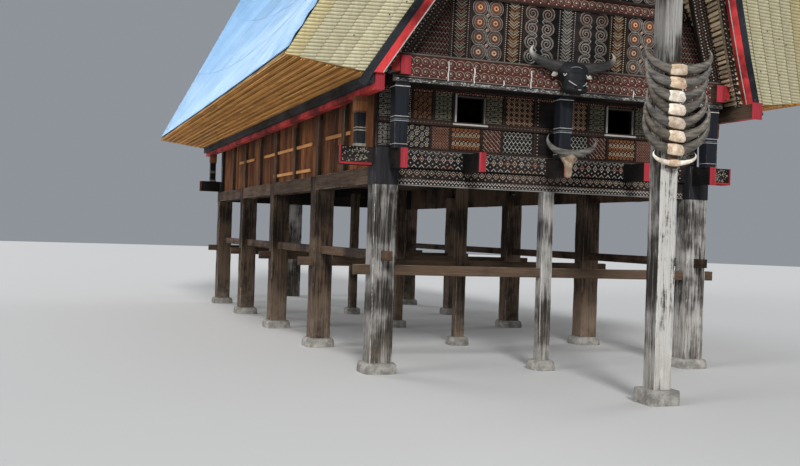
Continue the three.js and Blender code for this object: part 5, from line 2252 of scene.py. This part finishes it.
    def features(self, shell: Shell, height: float) -> None:
        """Eyes, ears, nostrils and the white crescents of cheek and chin."""
        turn, share, mouth = np.linspace(-0.9, 0.9, 9), np.linspace(0, 1, 9), np.linspace(-1, 1, 13)
        for side in (-1, 1):
            eye = self.spot(side * 0.150, 0.180, 0.60 * height)
            ends, black = (eye, eye + (side * 0.022, -0.022, 0)), (0.006, 0.006, 0.007)
            shell.bars(*ends, (0.040, 0.030), bevel=0.012, count=3, tint=black)
            lid = 0.142 + 0.012 * np.cos(turn) + 0.026 * np.sin(turn)
            arc = self.spot(side * lid, 0.208, 0.60 * height - 0.034 + 0.030 * (np.sin(turn * 1.4) ** 2))
            self.ribbon(shell, arc, WHITE, 0.010)
            across, rise = side * (0.040 + 0.078 * share), 0.055 * share**1.6
            cheek = self.spot(across, 0.292 - 0.050 * share**2, 0.30 * height - 0.035 + rise)
            self.ribbon(shell, cheek, (0.60, 0.60, 0.58), 0.009)
            nostril = self.spot(side * 0.054, 0.300, 0.16 * height)
            ends = (nostril, nostril + (side * 0.006, -0.008, 0.004))
            shell.bars(*ends, (0.026, 0.018), tint=(0.004, 0.004, 0.004))
            self.ear(shell, side, 0.66 * height)
        chin = self.spot(0.105 * mouth, 0.293 - 0.084 * mouth**2, 0.085 * height + 0.012 * mouth**2)
        self.ribbon(shell, chin, WHITE, 0.009)
        brow = self.spot(0.090 * mouth, 0.220 - 0.022 * mouth**2, 0.80 * height - 0.02 * mouth**2)
        self.ribbon(shell, brow, (0.30, 0.30, 0.30), 0.007)

    def ribbon(self, shell: Shell, path: Array, tint: Colour, width: float) -> None:
        """A raised painted line along a path on the head."""
        out = np.array([0.0, -1.0, 0.0])
        side = np.cross(unit(np.gradient(path, axis=0)), out)
        rings, _ = swept(path, side, out, (width, width), width * 0.3)
        shell.tubes(rings, tint)

    def ear(self, shell: Shell, side: int, up: float) -> None:
        """A drooping ear: a flat pointed spoon from the side of the head."""
        share = np.linspace(0, 1, 12)
        path = self.spot(side * (0.165 + 0.105 * share), 0.08 + 0.02 * share, up - 0.045 * share**1.5)
        radius = 0.036 * np.sin(np.pi * (0.12 + 0.88 * share)) ** 0.7 + 0.002
        angle = np.linspace(0, 2 * np.pi, 10, endpoint=False)
        ring_points = coords(0 * angle, 0.35 * np.sin(angle), np.cos(angle))
        shell.tubes((path[:, None] + radius[:, None, None] * ring_points)[None], (0.62, 0.58, 0.50))

    def skull(self, bone: Material, horn_finish: Material) -> None:
        """A flat long skull: wide brow with eye sockets, narrow muzzle, and a pair of wide horns."""
        front, foot, height = self.skull_face, self.skull_foot, self.skull_height
        shell = Shell()

        def place(a: Array, b: Array, c: Array) -> Array:
            """Half width by height, front crown, and pits for the sockets and the nose."""
            x = 2 * a - 1
            half = np.interp(
                c,
                [0, 0.08, 0.3, 0.5, 0.66, 0.8, 0.94, 1.0],
                [0.030, 0.042, 0.040, 0.056, 0.098, 0.104, 0.090, 0.060],
            )
            thick = np.interp(c, [0, 0.1, 0.5, 0.7, 0.9, 1.0], [0.030, 0.052, 0.070, 0.092, 0.085, 0.050])
            crown = 1 - 0.55 * np.abs(x) ** 2.2
            socket = 0.45 * np.exp(-((np.abs(x) - 0.62) ** 2) / 0.03 - ((c - 0.62) ** 2) / 0.004)
            nose = 0.5 * np.exp(-(x**2) / 0.05 - ((c - 0.14) ** 2) / 0.006)
            y = front - 0.002 - thick * (1 - b) * np.clip(crown - socket - nose, 0.08, 1)
            return coords(half * x, y, foot + height * c)

        shell.block((20, 3, 30), place, tone=0.5, tint=(0.50, 0.41, 0.33))
        shell.build("old_skull", bone, "horn", ["skull_and_horns"])
        horns = Shell()
        root = np.array([0.0, front - 0.05, foot + 0.85 * height])
        for side in (-1, 1):
            points, along = horn(0.32, 0.215, 0.098, side, 22)
            horns.tubes(points + root, tone=0.55, edge=along * 0.5, grain=points + root)
        horns.build("skull_horns", horn_finish, "horn")


# Finishes of the CAD nodes, camera and light


def paint_frame() -> None:
    """Gives every shown CAD node its finish."""
    assign(("eave_board_left", "eave_board_right"), BLACK_PAINT)
    assign(("barge_black_front",), BLACK_BOARD)
    assign(("barge_red_front", "barge_boards_rear"), RED_BOARD)
    assign(("eave_beam_left", "eave_beam_right"), RED_PAINT)
    assign(
        (
            "carved_lintel_front",
            "carved_sill_front",
            "carved_sill_rear",
            "facade_wall_front",
            "facade_wall_rear",
        ),
        GROUND,
    )
    assign(("gable_front", "gable_rear"), GROUND)
    assign(("tie_beam_1", "tie_beam_2", "tie_beam_3", "floor_boards"), DARK_CROSS)
    assign(
        ("wall_plate_left", "wall_plate_right", "long_rail_left", "long_rail_right", "ridge_beam"),
        DARK_WOOD,
    )
    assign(("side_wall_left", "side_wall_right"), DARK_UPRIGHT)


@dataclass
class Studio:
    """Camera at the photograph's place, soft light and a pale floor."""

    place: tuple[float, float, float] = (-5.78, -16.16, 1.6)
    yaw: float = 19.69
    pitch: float = 0.04
    roll: float = 1.86
    lens: float = 45.0
    floor_radius: float = 70.0
    sky: tuple[float, ...] = (0.80, 0.86, 0.95, 1.0)
    sky_strength: float = 0.34
    lights: tuple[tuple[str, tuple[float, float, float], float, float], ...] = (
        ("key", (-5.0, -20.0, 12.0), 2.5, 12.0),
        ("fill", (-18.0, -5.0, 7.0), 1.15, 28.0),
        ("back", (-6.0, 14.0, 8.0), 0.9, 30.0),
        ("side", (16.0, 5.0, 9.0), 0.5, 30.0),
    )

    def build(self) -> None:
        """Makes the camera, the lights and the floor."""
        self.camera()
        self.floor()
        for light in self.lights:
            self.light(*light)
        bpy.context.scene.view_settings.view_transform = "Standard"
        world = bpy.data.worlds.new("studio")
        bpy.context.scene.world = world
        world.use_nodes = True
        ground = world.node_tree.nodes["Background"]
        ground.inputs["Color"].default_value = self.sky
        ground.inputs["Strength"].default_value = self.sky_strength

    def camera(self) -> None:
        """The camera: turned right by yaw from +Y, up by pitch, and rolled about its own view."""
        yaw, pitch, roll = (math.radians(a) for a in (self.yaw, self.pitch, self.roll))
        ahead = np.array(
            [math.sin(yaw) * math.cos(pitch), math.cos(yaw) * math.cos(pitch), math.sin(pitch)]
        )
        right = np.array([math.cos(yaw), -math.sin(yaw), 0.0])
        up = np.cross(right, ahead)
        turned = math.cos(roll) * right + math.sin(roll) * up
        above = -math.sin(roll) * right + math.cos(roll) * up
        rows = np.eye(4)
        rows[:3, 0], rows[:3, 1], rows[:3, 2], rows[:3, 3] = turned, above, -ahead, self.place
        data = bpy.data.cameras.new("camera")
        data.lens, data.sensor_width, data.sensor_fit = self.lens, 36.0, "HORIZONTAL"
        data.clip_end = 200.0
        camera = bpy.data.objects.new("camera", data)
        camera.matrix_world = Matrix(rows.tolist())
        bpy.context.scene.collection.objects.link(camera)
        bpy.context.scene.camera = camera

    def floor(self) -> None:
        """A wide plain disc under the house."""
        points = coords(*(self.floor_radius * ring(64)).T, -0.001)
        mesh = bpy.data.meshes.new("floor")
        mesh.from_pydata(points.tolist(), [], [list(range(len(points)))])
        mesh.attributes.new("tint", "FLOAT_COLOR", "POINT").data.foreach_set(
            "color", np.ones(4 * len(points))
        )
        mesh.materials.append(FLOOR.material())
        floor = bpy.data.objects.new("floor", mesh)
        bpy.context.scene.collection.objects.link(floor)

    def light(self, name: str, toward: Sequence[float], strength: float, spread: float) -> None:
        """An even soft light that comes from a direction.

        Args:
            name: Name of the light.
            toward: Direction from the house to the light.
            strength: Light on a surface square to it.
            spread: Apparent size in degrees.
        """
        data = bpy.data.lights.new(name, "SUN")
        data.energy, data.angle = strength, math.radians(spread)
        lamp = bpy.data.objects.new(name, data)
        back = unit(np.array(toward))
        right = unit(np.cross((0.0, 0.0, 1.0), back))
        rows = np.eye(4)
        rows[:3, 0], rows[:3, 1], rows[:3, 2] = right, np.cross(back, right), back
        lamp.matrix_world = Matrix(rows.tolist())
        bpy.context.scene.collection.objects.link(lamp)


def main() -> None:
    """Builds the house's pieces in order, then the studio."""
    logging.basicConfig(level=logging.INFO, format="%(message)s")
    paint, wood = PAINT.material(), GROUND_PIECE.material()
    carved = CARVED.material()
    paint_frame()
    RoofCover().build()
    for end in End:
        Facade(end).build(carved, wood)
        Gable(end).build(carved, wood)
        Overhang(end).build(paint)
    for side in Side:
        SideWall(side).build()
    Substructure().build(paint)
    Posts().build(paint)
    Trophies().build(paint)
    Studio().build()


if __name__ == "__main__":
    main()
